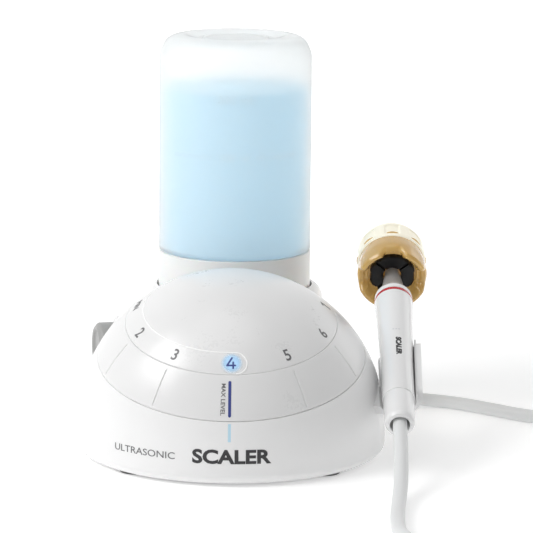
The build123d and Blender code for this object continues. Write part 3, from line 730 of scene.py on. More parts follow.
def on_front_of_base(azimuth, height):
    """Wrap on the casing's front: round the dome above its centre, upright below it."""

    def wrap(right, up, out):
        turn = azimuth + right / dome_radius
        z = height + up
        above = max(0.0, z - dome_centre.z)
        lean = math.asin(min(1.0, above / dome_radius))
        level = (dome_radius + out) * math.cos(lean)
        return Vector((level * math.sin(turn), -level * math.cos(turn), z + out * math.sin(lean)))

    return wrap


def body_radius(along):
    """Radius of the handpiece's body at a distance from its rear end."""
    stations = [(18, 7.0), (30, 7.1), (45, 7.1), (65, 7.65), (78, 8.0), (91.4, 8.65)]
    for (s0, r0), (s1, r1) in zip(stations, stations[1:]):
        if along <= s1 * MM:
            return (r0 + (r1 - r0) * (along / MM - s0) / (s1 - s0)) * MM
    return stations[-1][1] * MM


def on_handpiece_top(along, sideways=0.0):
    """Wrap on the handpiece's upper side: text runs from its nose towards its cord."""

    def wrap(right, up, out):
        station = along - right
        reach = body_radius(station) + out
        turn = (sideways + up) / body_radius(along)
        return on_handpiece @ Vector((reach * math.sin(turn), -reach * math.cos(turn), station))

    return wrap


def on_bottle_front(height):
    """Wrap on the bottle's front."""

    def wrap(right, up, out):
        turn = right / bottle_radius
        reach = bottle_radius + out
        return on_bottle @ Vector((reach * math.sin(turn), -reach * math.cos(turn), height + up))

    return wrap


def on_rear_face(x, z, y):
    """Wrap on an upright face at the back: right runs towards -X."""
    return lambda right, up, out: Vector((x - right, y + out, z + up))


# ---------------------------------------------------------------- dial
dial_marks = ["MIN", "2", "3", "4", "5", "6", "7", "8", "9", "MAX"]


def edge_inset(distance, rounding):
    """How far a rounded edge has dropped at a distance from it."""
    if distance >= rounding:
        return 0.0
    return rounding - math.sqrt(rounding**2 - (rounding - distance) ** 2)


def dial_zone(name, top, low, marks):
    """Closed shell of the dial between two polar angles, with rounded edges and engraved marks."""
    rounding, inner = 0.5 * MM, dome_radius - dial_wall
    mark_half, mark_depth = math.radians(0.5), 0.45 * MM
    mark_top, mark_low = math.radians(44.8), math.radians(58.4)
    near = [0.0, 0.03, 0.1, 0.22, 0.36, 0.5]
    polars = [low - share * MM / dome_radius for share in near]
    if top > 0:
        polars += [top + share * MM / dome_radius for share in near]
        near = (-0.25, -0.1, 0.1, 0.25)
        polars += [edge + math.radians(step) for edge in (mark_top, mark_low) for step in near]
    count = 16
    inside = [top + (low - top) * (index + 0.5) / count for index in range(count)]
    clear = math.radians(0.55)
    polars = sorted(polars + [a for a in inside if all(abs(a - edge) > clear for edge in polars)])
    if top == 0:
        polars = [0.0] + polars
    low_inner = math.acos(dome_radius * math.cos(low) / inner)
    top_inner = math.acos(min(1.0, dome_radius * math.cos(top) / inner)) if top > 0 else 0.0
    inner_polars = [low_inner + (top_inner - low_inner) * index / 12 for index in range(13)]

    def engraved(turn, polar):
        ends = min(polar - mark_top, mark_low - polar) / math.radians(0.25)
        along = eased((ends + 1) / 2)
        for mark in marks:
            off = abs((turn - mark + math.pi) % (2 * math.pi) - math.pi) / mark_half
            if off < 1:
                return mark_depth * (1 - off**2) * along
        return 0.0

    def rule(turn):
        section = []
        facing = turn + math.pi / 2
        for polar in polars:
            drop = edge_inset((low - polar) * dome_radius, rounding)
            if top > 0:
                drop += edge_inset((polar - top) * dome_radius, rounding)
            radius = dome_radius - drop - engraved(facing, polar)
            section.append((radius * math.sin(polar), radius * math.cos(polar)))
        section += [(inner * math.sin(polar), inner * math.cos(polar)) for polar in inner_polars]
        return section

    turns = even_turns(150)
    for mark in marks:
        centre = (mark - math.pi / 2) % (2 * math.pi)
        away = [abs((turn - centre + math.pi) % (2 * math.pi) - math.pi) for turn in turns]
        turns = [turn for turn, distance in zip(turns, away) if distance > 1.7 * mark_half]
        steps = (-1.3, -1.0, -0.75, -0.4, 0.0, 0.4, 0.75, 1.0, 1.3)
        turns += [(centre + step * mark_half) % (2 * math.pi) for step in steps]
    bm = bmesh.new()
    turned_by_rule(bm, rule, on_dial, sorted(turns))
    return finished(name, bm, dial_white, sharp_deg=40.0)


def add_dial():
    """Ring with engraved marks, plain cap, numbers, the range's raised edge and the level bar."""
    turns = [level_step * (index - 3) for index in range(len(dial_marks))]
    plain_marks = [turn for index, turn in enumerate(turns) if index != 3]
    low = math.acos((dome_radius * math.cos(dial_seam) + dial_gap) / dome_radius)
    ridden(dial_zone("marked_ring", cap_seam, low, plain_marks), "dial", "dial_white", "dial_ring")
    ridden(dial_zone("number_cap", 0.0, cap_seam, []), "dial", "dial_white", "dial_cap")

    bm = bmesh.new()
    blue = bmesh.new()
    nudge = math.radians(0.6)
    for text, turn in zip(dial_marks, turns):
        wrap = on_sphere_of_dial(number_angle, turn + nudge)
        if text == "4":
            corners = [(0.35, 2.35), (-1.75, -1.05), (1.75, -1.05), (0.85, 0.35), (0.85, -2.35)]
            top, left, right, stem, foot = [(x * MM, y * MM) for x, y in corners]
            for index, (first, second) in enumerate(((top, left), (left, right), (stem, foot))):
                outline = pen_stroke(first, second, 0.72 * MM)
                raised_shape(blue, outline, wrap, lift=(0.08 + 0.004 * index) * MM)
        elif len(text) == 1:
            letters(bm, text, 5.2 * MM, wrap, weight=0.012)
        else:
            letters(bm, text, 3.2 * MM, wrap, width=7.6 * MM)
    bar_length = dome_radius * math.radians(13.2)
    raised_shape(blue, capsule(bar_length, 1.25 * MM), on_sphere_of_dial(math.radians(51.7), 0.0))
    words = on_sphere_of_dial(math.radians(51.9), math.radians(-3.0), spin=math.pi / 2)
    letters(bm, "MAX LEVEL", 1.8 * MM, words, width=13.6 * MM, weight=0.012)
    ridden(finished("dial_numbers", bm, print_grey), "dial", "dial_white")
    ridden(finished("level_mark", blue, print_blue), "dial", "dial_white")

    half_band, band_end = math.radians(4.1), math.radians(3.2)
    band_start = turns[0] - math.radians(9)
    path = [dial_point(number_angle - half_band, band_start + index / 60 * (band_end - band_start))
            for index in range(60)]
    wide = half_band / math.sin(number_angle)
    for step in range(0, 19):
        angle = math.pi * step / 18
        path.append(dial_point(number_angle - half_band * math.cos(angle), band_end + wide * math.sin(angle)))
    bm = bmesh.new()
    tube(bm, path, 0.24 * MM, sides=10)
    # The bead's white, glowing finish is a painted highlight along the edge of the number band.
    ridden(finished("range_edge", bm, white_print_and_highlight), "dial", "dial_white")


def glow_finish():
    """Lit patch: pale blue that fades out to its rim, read from the patch's own fade attribute."""
    glow = surface("level_glow", (0.52, 0.76, 0.98), (0.3, 0.36), Coat_Weight=0.3)
    tree = glow.node_tree
    shader = tree.nodes["Principled BSDF"]
    shader.inputs["Emission Color"].default_value = (0.45, 0.74, 1.0, 1.0)
    shader.inputs["Emission Strength"].default_value = 0.2
    fade = node(tree, "ShaderNodeAttribute", {"attribute_name": "fade"})
    tree.links.new(fade.outputs["Fac"], shader.inputs["Alpha"])
    return glow


def add_level_glow():
    """The lamp's light on the dial at the front, which stays there as the dial turns."""
    radius, rings = 5.0 * MM, 10
    wrap = on_sphere_of_dial(number_angle, math.radians(0.9))
    bm = bmesh.new()
    fade = bm.verts.layers.float.new("fade")
    for lift in (0.02 * MM, 0.035 * MM):
        grid = []
        for ring in range(rings + 1):
            reach = radius * ring / rings
            row = []
            for turn in even_turns(40):
                vertex = bm.verts.new(wrap(reach * math.cos(turn), reach * math.sin(turn), lift))
                vertex[fade] = 0.7 * (1 - eased((ring / rings - 0.3) / 0.7))
                row.append(vertex)
            grid.append(row)
        for one, two in zip(grid, grid[1:]):
            for index in range(40):
                after = (index + 1) % 40
                bm.faces.new((one[index], two[index], two[after], one[after]))
        if lift > 0.03 * MM:
            for index in range(40):
                after = (index + 1) % 40
                bm.faces.new((rim[index], grid[-1][index], grid[-1][after], rim[after]))
        rim = grid[-1]
    ridden(finished("level_glow", bm, glow_finish()), "unit", "light_guide")


add_dial()
add_level_glow()


# ---------------------------------------------------------------- base lettering
def add_base_marks():
    """Plain words on the casing's front."""
    bm = bmesh.new()
    letters(bm, "ULTRASONIC", 2.9 * MM, on_front_of_base(math.radians(-33.0), 12.6 * MM), width=31.0 * MM)
    ridden(finished("small_words", bm, print_grey), "unit", "casing_white")
    bm = bmesh.new()
    front = on_front_of_base(math.radians(0.9), 13.3 * MM)
    letters(bm, "SCALER", 6.2 * MM, front, width=33.5 * MM, weight=0.035)
    ridden(finished("bold_words", bm, print_dark), "unit", "casing_white")


add_base_marks()


# ---------------------------------------------------------------- bottle
def bottle_finishes():
    """Frosted plastic and pale blue liquid."""
    # The frost's weak warm emission is a painted glow.
    frost = surface("bottle_frost", (0.985, 0.99, 0.99), (0.30, 0.38), grain=420.0, bump=0.12, mottle=0.99,
                    Transmission_Weight=0.78, IOR=1.2, Emission_Color=(1.0, 0.99, 0.93, 1.0),
                    Emission_Strength=0.04)
    # The liquid's emission is a painted glow that brightens its blue.
    blue = surface("liquid_blue", (0.47, 0.77, 0.91), (0.12, 0.2), grain=60.0, bump=0.01, mottle=0.98,
                   Transmission_Weight=0.35, IOR=1.12, Emission_Color=(0.40, 0.70, 0.88, 1.0),
                   Emission_Strength=0.2)
    return frost, blue


def add_bottle():
    """Frosted bottle upside down in its collar, with the liquid, raised marks and the collar ring."""
    frost, blue = bottle_finishes()
    radius, top = bottle_radius / MM, bottle_top / MM
    nest = 32.2
    outer = [
        (0, top - 1.9, 0), (17.5, top - 1.9, 3.0), (23.5, top - 0.1, 5.0), (radius - 3.5, top - 1.1, 9.0),
        (radius, top - 8.5, 9.0), (radius, 73.5, 0.7), (nest, 73.5, 0.3), (nest, 68, 2.0), (17, 62.5, 1.0),
        (17, 50, 0.3),
    ]
    wall = 1.3
    inner = [
        (17 - wall, 50, 0.3), (17 - wall, 63.4, 1.0), (nest - wall, 68.9, 1.5), (nest - wall, 74.8, 0.3),
        (radius - wall, 74.8, 0.7), (radius - wall, top - 9.0, 8.0), (radius - 4.5, top - 2.5, 8.0),
        (23.5, top - 1.4, 5.0), (17.5, top - 3.2, 3.0), (0, top - 3.2, 0),
    ]
    shell = lathe("bottle_wall", outer + inner, on_bottle, frost, segments=128)
    ridden(shell, "bottle", "bottle_frost", "bottle_shell")
    gap = wall + 0.12
    level = liquid_level / MM
    water = [
        (0, 54, 0), (17 - gap, 54, 0.3), (17 - gap, 63.5, 1.0), (nest - gap, 69.0, 1.5),
        (nest - gap, 74.9, 0.3),
        (radius - gap, 74.9, 0.7), (radius - gap, level, 0.25), (0, level, 0),
    ]
    ridden(lathe("water", water, on_bottle, blue, segments=128), "bottle", "liquid_blue", "irrigation_liquid")

    bm = bmesh.new()
    full, part_full = 147.0 * MM, 120.6 * MM
    letters(bm, "300 ml", 3.4 * MM, on_bottle_front(full), width=15.0 * MM, lift=0.3 * MM)
    letters(bm, "200 ml", 3.0 * MM, on_bottle_front(part_full), width=13.0 * MM, lift=0.3 * MM)
    for side in (-1, 1):
        for drop in (-0.55 * MM, 0.55 * MM):
            dash = [(side * 10 * MM, drop - 0.14 * MM), (side * 31 * MM, drop - 0.14 * MM),
                    (side * 31 * MM, drop + 0.14 * MM), (side * 10 * MM, drop + 0.14 * MM)]
            raised_shape(bm, dash[::side], on_bottle_front(part_full), lift=0.25 * MM)

    def flat_top(right, up, out):
        return on_bottle @ Vector((right, up, (top - 2.0) * MM + out))

    arrow = [(-4.6 * MM, -16.6 * MM), (0.0, -21.5 * MM), (4.6 * MM, -16.6 * MM), (1.6 * MM, -16.6 * MM),
             (0.0, -18.2 * MM), (-1.6 * MM, -16.6 * MM)]
    raised_shape(bm, arrow, flat_top, lift=0.9 * MM)
    ridden(finished("bottle_marks", bm, frost), "bottle", "bottle_frost")
    bm = bmesh.new()
    ring = [on_bottle @ Vector((15.0 * MM * math.cos(turn), 15.0 * MM * math.sin(turn), (top - 1.9) * MM))
            for turn in even_turns(72)]
    tube(bm, ring + ring[:1], 0.4 * MM, sides=8)
    ridden(finished("bottle_top_ring", bm, frost), "bottle", "bottle_frost")

    low, high = collar_low.z / MM, collar_high.z / MM
    collar_radius = radius + 0.1
    ring = [(collar_radius - 2.5, low, 0), (collar_radius, low, 0), (collar_radius, high, 0.7),
            (collar_radius - 2.5, high, 0.4)]
    ridden(lathe("bottle_ring", ring, on_bottle, collar_white, segments=128), "unit", "collar_white",
           "bottle_collar")


add_bottle()


# ---------------------------------------------------------------- handpiece
def add_handpiece():
    """Collar, body, red ring, front ring and nose, each turned on the handpiece's axis."""
    collar = [(4.25, 0, 0.5), (5.75, 0, 1.0), (6.5, 2.2, 4.0), (6.88, 18, 0.35), (6.0, 18, 0), (6.0, 8, 0),
              (4.25, 8, 0)]
    ridden(lathe("rear_collar", collar, on_handpiece, handpiece_white), "handpiece", "handpiece_white",
           "handpiece_collar")
    body = [(6.0, 18, 0), (7.0, 18, 0.4), (7.1, 30, 30), (7.12, 45, 40), (7.65, 65, 60), (8.0, 78, 40),
            (8.65, 91.4, 0.15), (6.2, 91.4, 0), (6.0, 60, 0)]
    ridden(lathe("main_sleeve", body, on_handpiece, handpiece_white, steps=8), "handpiece", "handpiece_white",
           "handpiece_body")
    red = [(6.2, 91.4, 0), (8.62, 91.4, 0.2), (8.62, 93.4, 0.2), (6.2, 93.4, 0)]
    ridden(lathe("red_band", red, on_handpiece, ring_red, segments=96), "handpiece", "ring_red", "red_ring")
    front = [(5.95, 93.4, 0), (8.6, 93.4, 0.2), (8.45, 96.2, 2.0), (7.7, 98, 0.7), (5.95, 98, 0.2)]
    ridden(lathe("front_collar", front, on_handpiece, handpiece_white), "handpiece", "handpiece_white",
           "front_ring")
    nose = [(4.6, 94, 0), (5.9, 94, 0), (5.9, 98, 0.2), (5.75, 99, 0.4), (5.5, 100.2, 0.3), (5.55, 101, 0.3),
            (3.6, 114, 8.0), (3.25, 118, 0.3), (2.9, 119, 0.2), (1.9, 119, 0), (1.9, 116, 0)]
    ridden(lathe("nose_sleeve", nose, on_handpiece, nose_steel, segments=72), "handpiece", "nose_steel",
           "nose_cone")
    bm = bmesh.new()
    beside = on_handpiece_top(49 * MM, 0.8 * MM)
    letters(bm, "SCALER", 2.6 * MM, beside, width=13.0 * MM, weight=0.07, lift=0.05 * MM)
    ridden(finished("handpiece_words", bm, print_dark), "handpiece", "handpiece_white")
    bm = bmesh.new()
    for sideways in (-1.3, 0.0, 1.3):
        wrap = on_handpiece_top(61.5 * MM, sideways * MM)
        raised_shape(bm, capsule(0.9 * MM, 0.7 * MM), wrap, lift=0.05 * MM)
    ridden(finished("handpiece_marks", bm, print_faint), "handpiece", "handpiece_white")


add_handpiece()


# ---------------------------------------------------------------- torque wrench
def amber_finish():
    # The pale gold edge colour is a painted highlight on the bowl's rim and ribs, and the weak emission is a painted
    # glow.
    return surface("wrench_amber", (0.82, 0.55, 0.18), (0.10, 0.18), grain=300.0, bump=0.03, mottle=0.88,
                   wear_and_sheen=(1.0, 0.86, 0.52), Transmission_Weight=0.4, IOR=1.4, Coat_Weight=0.6,
                   Coat_Roughness=0.06,
                   Emission_Color=(1.0, 0.66, 0.24, 1.0), Emission_Strength=0.03)


def near_rim(turn):
    """Height of the wrench's near rim: lobes on the diagonals, niches between them."""
    lobe = 0.5 - 0.5 * math.cos(4 * turn)
    return (114.6 - 4.6 * eased((lobe - 0.12) / 0.5)) * MM


def add_wrench():
    """Amber bowl with a scalloped rim and inner ribs, cream grip with windows, dark slotted insert."""
    amber = amber_finish()

    def bowl(turn):
        rim = near_rim(turn)
        rib = max(0.0, math.cos(16 * turn)) ** 3 * 0.7 * MM
        niche = 1.0 - eased((0.5 - 0.5 * math.cos(4 * turn)) / 0.4)
        floor = 116.4 * MM
        inner = 10.9 * MM
        corners = [
            (13.9 * MM - 0.6 * niche * MM, rim, 0.5 * MM), (14.9 * MM, rim, 0.9 * MM),
            (15.8 * MM, rim + 1.6 * MM, 1.2 * MM), (15.75 * MM, 118.5 * MM, 3 * MM),
            (15.1 * MM, 125 * MM, 0.2 * MM),
            (13.0 * MM, 125 * MM, 0), (13.0 * MM, 138.5 * MM, 0), (11.0 * MM, 140 * MM, 0.5 * MM),
            (4.3 * MM, 140 * MM, 0.4 * MM), (4.3 * MM, 118 * MM, 0), (inner, 118 * MM, 0),
            (inner, floor, 0.2 * MM), (inner + 0.5 * MM, floor - 0.5 * MM, 0.2 * MM),
            (12.6 * MM - rib, rim + 1.0 * MM + 0.25 * (floor - rim), 0.5 * MM),
        ]
        return rounded(corners, 3)

    bm = bmesh.new()
    turned_by_rule(bm, bowl, on_handpiece, even_turns(192))
    ridden(finished("wrench_bowl", bm, amber, sharp_deg=40.0), "wrench", "wrench_amber", "wrench_body")

    def grip(turn):
        window = abs((turn / (math.pi / 4) + 0.5) % 1.0 - 0.5) * 2
        open_share = 1.0 - eased((window - 0.5) / 0.12)
        cut = 0.75 * MM * open_share
        corners = [
            (13.0 * MM, 125.05 * MM, 0), (15.3 * MM, 125.05 * MM, 0.35 * MM),
            (15.65 * MM, 126.8 * MM, 0.5 * MM),
            (15.65 * MM - cut, 127.3 * MM, 0.25 * MM), (15.35 * MM - cut, 134.2 * MM, 0.3 * MM),
            (15.25 * MM, 134.8 * MM, 0.5 * MM), (13.6 * MM, 138.5 * MM, 1.5 * MM), (13.0 * MM, 138.5 * MM, 0),
        ]
        return rounded(corners, 3)

    bm = bmesh.new()
    turned_by_rule(bm, grip, on_handpiece, even_turns(256))
    ridden(finished("wrench_band", bm, wrench_cream, sharp_deg=40.0), "wrench", "wrench_cream", "wrench_grip")

    bm = bmesh.new()
    for index in range(8):
        turn = index * math.pi / 4
        middle = on_handpiece @ Matrix.Rotation(turn, 4, "Z")
        path = [middle @ Vector((15.35 * MM * math.cos(a), 15.35 * MM * math.sin(a), 127.35 * MM))
                for a in [math.radians(-10 + 2 * step) for step in range(11)]]
        tube(bm, path, lambda share: 0.6 * MM * math.sin(math.pi * (0.12 + 0.76 * share)), sides=8)
    ridden(finished("wrench_accents", bm, amber), "wrench", "wrench_amber")

    def disc(turn):
        tooth = 0.45 * MM * eased((math.cos(8 * turn) + 0.2) / 0.5)
        slot = 1.3 * MM * (abs(math.sin(2 * (turn - math.pi / 4))) < 0.16)
        face = 114.7 * MM + slot
        corners = [
            (4.1 * MM, face + 0.4 * MM, 0.2 * MM), (5.2 * MM, face, 0.2 * MM), (9.4 * MM, face, 0.3 * MM),
            (10.4 * MM - tooth, face + 0.7 * MM, 0.3 * MM), (10.4 * MM - tooth, 117.9 * MM, 0),
            (4.1 * MM, 117.9 * MM, 0),
        ]
        return rounded(corners, 2)

    bm = bmesh.new()
    turned_by_rule(bm, disc, on_handpiece, even_turns(192))
    ridden(finished("wrench_core", bm, insert_black, sharp_deg=35.0), "wrench", "insert_black",
           "wrench_insert")


add_wrench()


# ---------------------------------------------------------------- cradle and knob
def cradle_inner(along):
    """Radius inside the cradle's wall at a distance along the handpiece."""
    share = (along - cradle_start) / (cradle_end - cradle_start)
    return (8.3 + 0.65 * share) * MM


def add_cradle():
    """Open trough with rolled lips and round ends, on a web to the casing."""
    start, end, wall = cradle_start, cradle_end, 1.7 * MM
    stations = 44
    bm = bmesh.new()
    rings = []
    for index in range(stations + 1):
        along = start + (end - start) * index / stations
        from_end = min(along - start, end - along)
        corner = 7 * MM
        shrink = 1 - math.sqrt(max(0.0, 1 - (1 - min(1.0, from_end / corner)) ** 2))
        left, right = math.radians(47 - 17 * shrink), math.radians(102 - 40 * shrink)
        inner = cradle_inner(along)
        section = []
        steps = 28
        for step in range(steps + 1):
            section.append((inner, -left + (left + right) * step / steps))
        for step in range(steps + 1):
            angle = right - (left + right) * step / steps
            bead = 0.5 * MM * eased((angle - right + math.radians(20)) / math.radians(6))
            soft = 0.5 * MM * eased((0.8 * MM - from_end) / (0.8 * MM))
            section.append((inner + wall + bead - soft, angle))
        corners = [Vector((r * math.sin(a), r * math.cos(a), along)) for r, a in section]
        rings.append([bm.verts.new(on_handpiece @ corner) for corner in corners])
    for one, two in zip(rings, rings[1:]):
        for index in range(len(one)):
            after = (index + 1) % len(one)
            bm.faces.new((one[index], one[after], two[after], two[index]))
    for ring, flipped in ((rings[0], False), (rings[-1], True)):
        half = len(ring) // 2
        for index in range(half - 1):
            face = (ring[index], ring[index + 1], ring[2 * half - 2 - index], ring[2 * half - 1 - index])
            bm.faces.new(face[::-1] if flipped else face)
    cradle = finished("cradle_trough", bm, casing_white, sharp_deg=50.0)
    ridden(cradle, "unit", "casing_white", "handpiece_cradle")

    bm = bmesh.new()
    sections = []
    for index in range(9):
        share = index / 8
        along = start + 0.3 * MM + 15.4 * MM * share
        root = -(14.5 + 1.2 * share) * MM
        seat = cradle_inner(along) + 0.8 * MM
        depths = [4.6 * MM, 6.0 * MM, 7.4 * MM, 8.8 * MM]
        hollow = [(-math.sqrt(seat**2 - y**2), y) for y in depths]
        outline = [(root, depths[0])] + hollow + [(root, depths[-1])]
        sections.append([bm.verts.new(on_handpiece @ Vector((x, y, along))) for x, y in outline])
    for one, two in zip(sections, sections[1:]):
        for index in range(len(one)):
            after = (index + 1) % len(one)
            bm.faces.new((one[index], one[after], two[after], two[index]))
    bm.faces.new(sections[0][::-1])
    bm.faces.new(sections[-1])
    web = finished("cradle_web", bm, casing_white, sharp_deg=30.0)
    ridden(web, "unit", "casing_white")


def add_knob():
    """Grey flow knob with a raised rim and a dished face."""
    knob = [(0, -1.3, 0), (7.6, -1.3, 0.8), (8.6, -0.35, 0.6), (9.6, 0, 0.6), (11.5, -1.7, 1.3),
            (11.5, -9.5, 0.4), (9.5, -9.5, 0), (9.5, -4, 0), (3.5, -4, 0), (3.5, -7, 0), (0, -7, 0)]
    ridden(lathe("flow_dial", knob, on_knob, knob_grey), "flow_knob", "knob_grey", "flow_knob")


add_cradle()
add_knob()


# ---------------------------------------------------------------- repeated pieces
def node_tree(name, inputs):
    """Empty geometry tree with named inputs: the tree, its input node and its output node."""
    tree = bpy.data.node_groups.new(name, "GeometryNodeTree")
    tree.interface.new_socket(name="Geometry", in_out="INPUT", socket_type="NodeSocketGeometry")
    for socket_name, kind, value in inputs:
        socket = tree.interface.new_socket(name=socket_name, in_out="INPUT", socket_type=kind)
        socket.default_value = value
    tree.interface.new_socket(name="Geometry", in_out="OUTPUT", socket_type="NodeSocketGeometry")
    return tree, tree.nodes.new("NodeGroupInput"), tree.nodes.new("NodeGroupOutput")


def made_by_nodes(name, tree, material, points, values, at):
    """Plain mesh piece from a geometry tree run on loose points, put in place by a matrix."""
    seeds = bpy.data.meshes.new(name + "_seeds")
    seeds.from_pydata([tuple(point) for point in points], [], [])
    carrier = bpy.data.objects.new(name + "_carrier", seeds)
    scene.collection.objects.link(carrier)
    modifier = carrier.modifiers.new("nodes", "NODES")
    modifier.node_group = tree
    for item in tree.interface.items_tree:
        if item.in_out == "INPUT" and item.name in values:
            modifier[item.identifier] = values[item.name]
    bpy.context.view_layer.update()
    mesh = bpy.data.meshes.new_from_object(carrier.evaluated_get(bpy.context.evaluated_depsgraph_get()))
    bpy.data.objects.remove(carrier)
    bpy.data.meshes.remove(seeds)
    bm = bmesh.new()
    bm.from_mesh(mesh)
    bpy.data.meshes.remove(mesh)
    bmesh.ops.transform(bm, matrix=at, verts=bm.verts)
    return finished(name, bm, material, sharp_deg=35.0)


def screw_tree():
    """Pan head with a cross recess on every point, its top towards +Z."""
    tree, given, out = node_tree(
        "cross_head_screws",
        [("Head Radius", "NodeSocketFloat", 0.003), ("Head Height", "NodeSocketFloat", 0.0015),
         ("Slot Width", "NodeSocketFloat", 0.0007), ("Finish", "NodeSocketMaterial", None)],
    )
    head = node(tree, "GeometryNodeMeshCylinder", {"fill_type": "NGON"},
                {"Vertices": 32, "Radius": given.outputs["Head Radius"],
                 "Depth": given.outputs["Head Height"]})
    long = node(tree, "ShaderNodeMath", {"operation": "MULTIPLY"}, {0: given.outputs["Head Radius"], 1: 1.25})
    deep = given.outputs["Head Height"]
    cuts = []
    sides = (long.outputs[0], given.outputs["Slot Width"])
    for across, along in (sides, sides[::-1]):
        size = node(tree, "ShaderNodeCombineXYZ", None, {"X": across, "Y": along, "Z": deep})
        cube = node(tree, "GeometryNodeMeshCube", None, {"Size": size.outputs[0]})
        raise_by = node(tree, "ShaderNodeCombineXYZ", None, {"Z": deep})
        half_up = node(tree, "ShaderNodeVectorMath", {"operation": "SCALE"},
                       {0: raise_by.outputs[0], "Scale": 0.6})
        moved = node(tree, "GeometryNodeTransform", None, {"Geometry": cube.outputs["Mesh"],
                                                          "Translation": half_up.outputs[0]})
        cuts.append(moved.outputs["Geometry"])
    carved = node(tree, "GeometryNodeMeshBoolean", {"operation": "DIFFERENCE"}, {0: head.outputs["Mesh"]})
    for cut in cuts:
        tree.links.new(cut, carved.inputs[1])
    spread = node(tree, "GeometryNodeInstanceOnPoints", None,
                  {"Points": given.outputs["Geometry"], "Instance": carved.outputs[0]})
    real = node(tree, "GeometryNodeRealizeInstances", None, {"Geometry": spread.outputs[0]})
    painted = node(tree, "GeometryNodeSetMaterial", None,
                   {"Geometry": real.outputs[0], "Material": given.outputs["Finish"]})
    tree.links.new(painted.outputs[0], out.inputs[0])
    return tree


def ring_tree():
    """Round rings one behind the other along +Z, shrinking evenly from the first to the last."""
    tree, given, out = node_tree(
        "shrinking_rings",
        [("Count", "NodeSocketInt", 7), ("Pitch", "NodeSocketFloat", 0.0027),
         ("First Radius", "NodeSocketFloat", 0.005), ("Shrink", "NodeSocketFloat", 0.0002),
         ("Thickness", "NodeSocketFloat", 0.0006), ("Finish", "NodeSocketMaterial", None)],
    )
    step = node(tree, "ShaderNodeCombineXYZ", None, {"Z": given.outputs["Pitch"]})
    line = node(tree, "GeometryNodeMeshLine", None,
                {"Count": given.outputs["Count"], "Offset": step.outputs[0]})
    circle = node(tree, "GeometryNodeCurvePrimitiveCircle", None, {"Resolution": 40, "Radius": 1.0})
    index = node(tree, "GeometryNodeInputIndex")
    less = node(tree, "ShaderNodeMath", {"operation": "MULTIPLY"},
                {0: index.outputs[0], 1: given.outputs["Shrink"]})
    reach = node(tree, "ShaderNodeMath", {"operation": "SUBTRACT"},
                 {0: given.outputs["First Radius"], 1: less.outputs[0]})
    scaled = node(tree, "ShaderNodeCombineXYZ", None,
                  {"X": reach.outputs[0], "Y": reach.outputs[0], "Z": 1.0})
    spread = node(tree, "GeometryNodeInstanceOnPoints", None,
                  {"Points": line.outputs["Mesh"], "Instance": circle.outputs["Curve"],
                   "Scale": scaled.outputs[0]})
    real = node(tree, "GeometryNodeRealizeInstances", None, {"Geometry": spread.outputs[0]})
    section = node(tree, "GeometryNodeCurvePrimitiveCircle", None,
                   {"Resolution": 10, "Radius": given.outputs["Thickness"]})
    solid = node(tree, "GeometryNodeCurveToMesh", None,
                 {"Curve": real.outputs[0], "Profile Curve": section.outputs["Curve"]})
    painted = node(tree, "GeometryNodeSetMaterial", None,
                   {"Geometry": solid.outputs[0], "Material": given.outputs["Finish"]})
    tree.links.new(painted.outputs[0], out.inputs[0])
    return tree


def add_repeated():
    """Screw heads under the unit and on the rear panel, and the rings of the strain relief."""
    heads = screw_tree()
    places = ((-46, -34), (46, -34), (-50, 26), (50, 26), (-29, 100), (29, 100))
    under = [(x * MM, y * MM, 0.0) for x, y in places]
    face_down = Matrix.Translation((0, 0, 1.85 * MM)) @ Matrix.Diagonal((1, 1, -1, 1))
    values = {"Head Radius": 2.9 * MM, "Head Height": 1.5 * MM, "Slot Width": 0.7 * MM, "Finish": screw_steel}
    screws = made_by_nodes("base_screw_heads", heads, screw_steel, under, values, face_down)
    ridden(screws, "unit", "screw_steel", "case_screws")
    corners = [(x * MM, z * MM, 0.0) for x in (-20.5, 20.5) for z in (36.5,)]
    face_back = Matrix.Translation((0, rear_face_y + 0.5 * MM, 0)) @ Matrix(
        ((1, 0, 0, 0), (0, 0, 1, 0), (0, 1, 0, 0), (0, 0, 0, 1)))
    values = {"Head Radius": 2.0 * MM, "Head Height": 1.4 * MM, "Slot Width": 0.5 * MM, "Finish": screw_steel}
    screws = made_by_nodes("panel_screw_heads", heads, screw_steel, corners, values, face_back)
    ridden(screws, "unit", "screw_steel")

    turn, drop = math.radians(15.0), math.radians(8.0)
    relief_axis = Vector((math.cos(turn) * math.cos(drop), math.sin(turn) * math.cos(drop), -math.sin(drop)))
    on_relief = place(Vector((46.9, 72.0, 9.0)) * MM, relief_axis, (-math.sin(turn), math.cos(turn), 0))
    sleeve = [(0, 3.7, 0), (5.2, 3.7, 0.3), (5.1, 7, 0.4), (4.2, 8.2, 0.4), (3.3, 25.7, 0.3), (0, 25.7, 0)]
    ridden(lathe("relief_sleeve", sleeve, on_relief, cord_grey, segments=48), "unit", "cord_grey",
           "strain_relief")
    values = {"Count": 7, "Pitch": 2.4 * MM, "First Radius": 4.15 * MM, "Shrink": 0.13 * MM,
              "Thickness": 0.62 * MM, "Finish": cord_grey}
    first = on_relief @ Matrix.Translation((0, 0, 9.6 * MM))
    rings = made_by_nodes("relief_rings", ring_tree(), cord_grey, [(0, 0, 0)], values, first)
    ridden(rings, "unit", "cord_grey")


add_repeated()


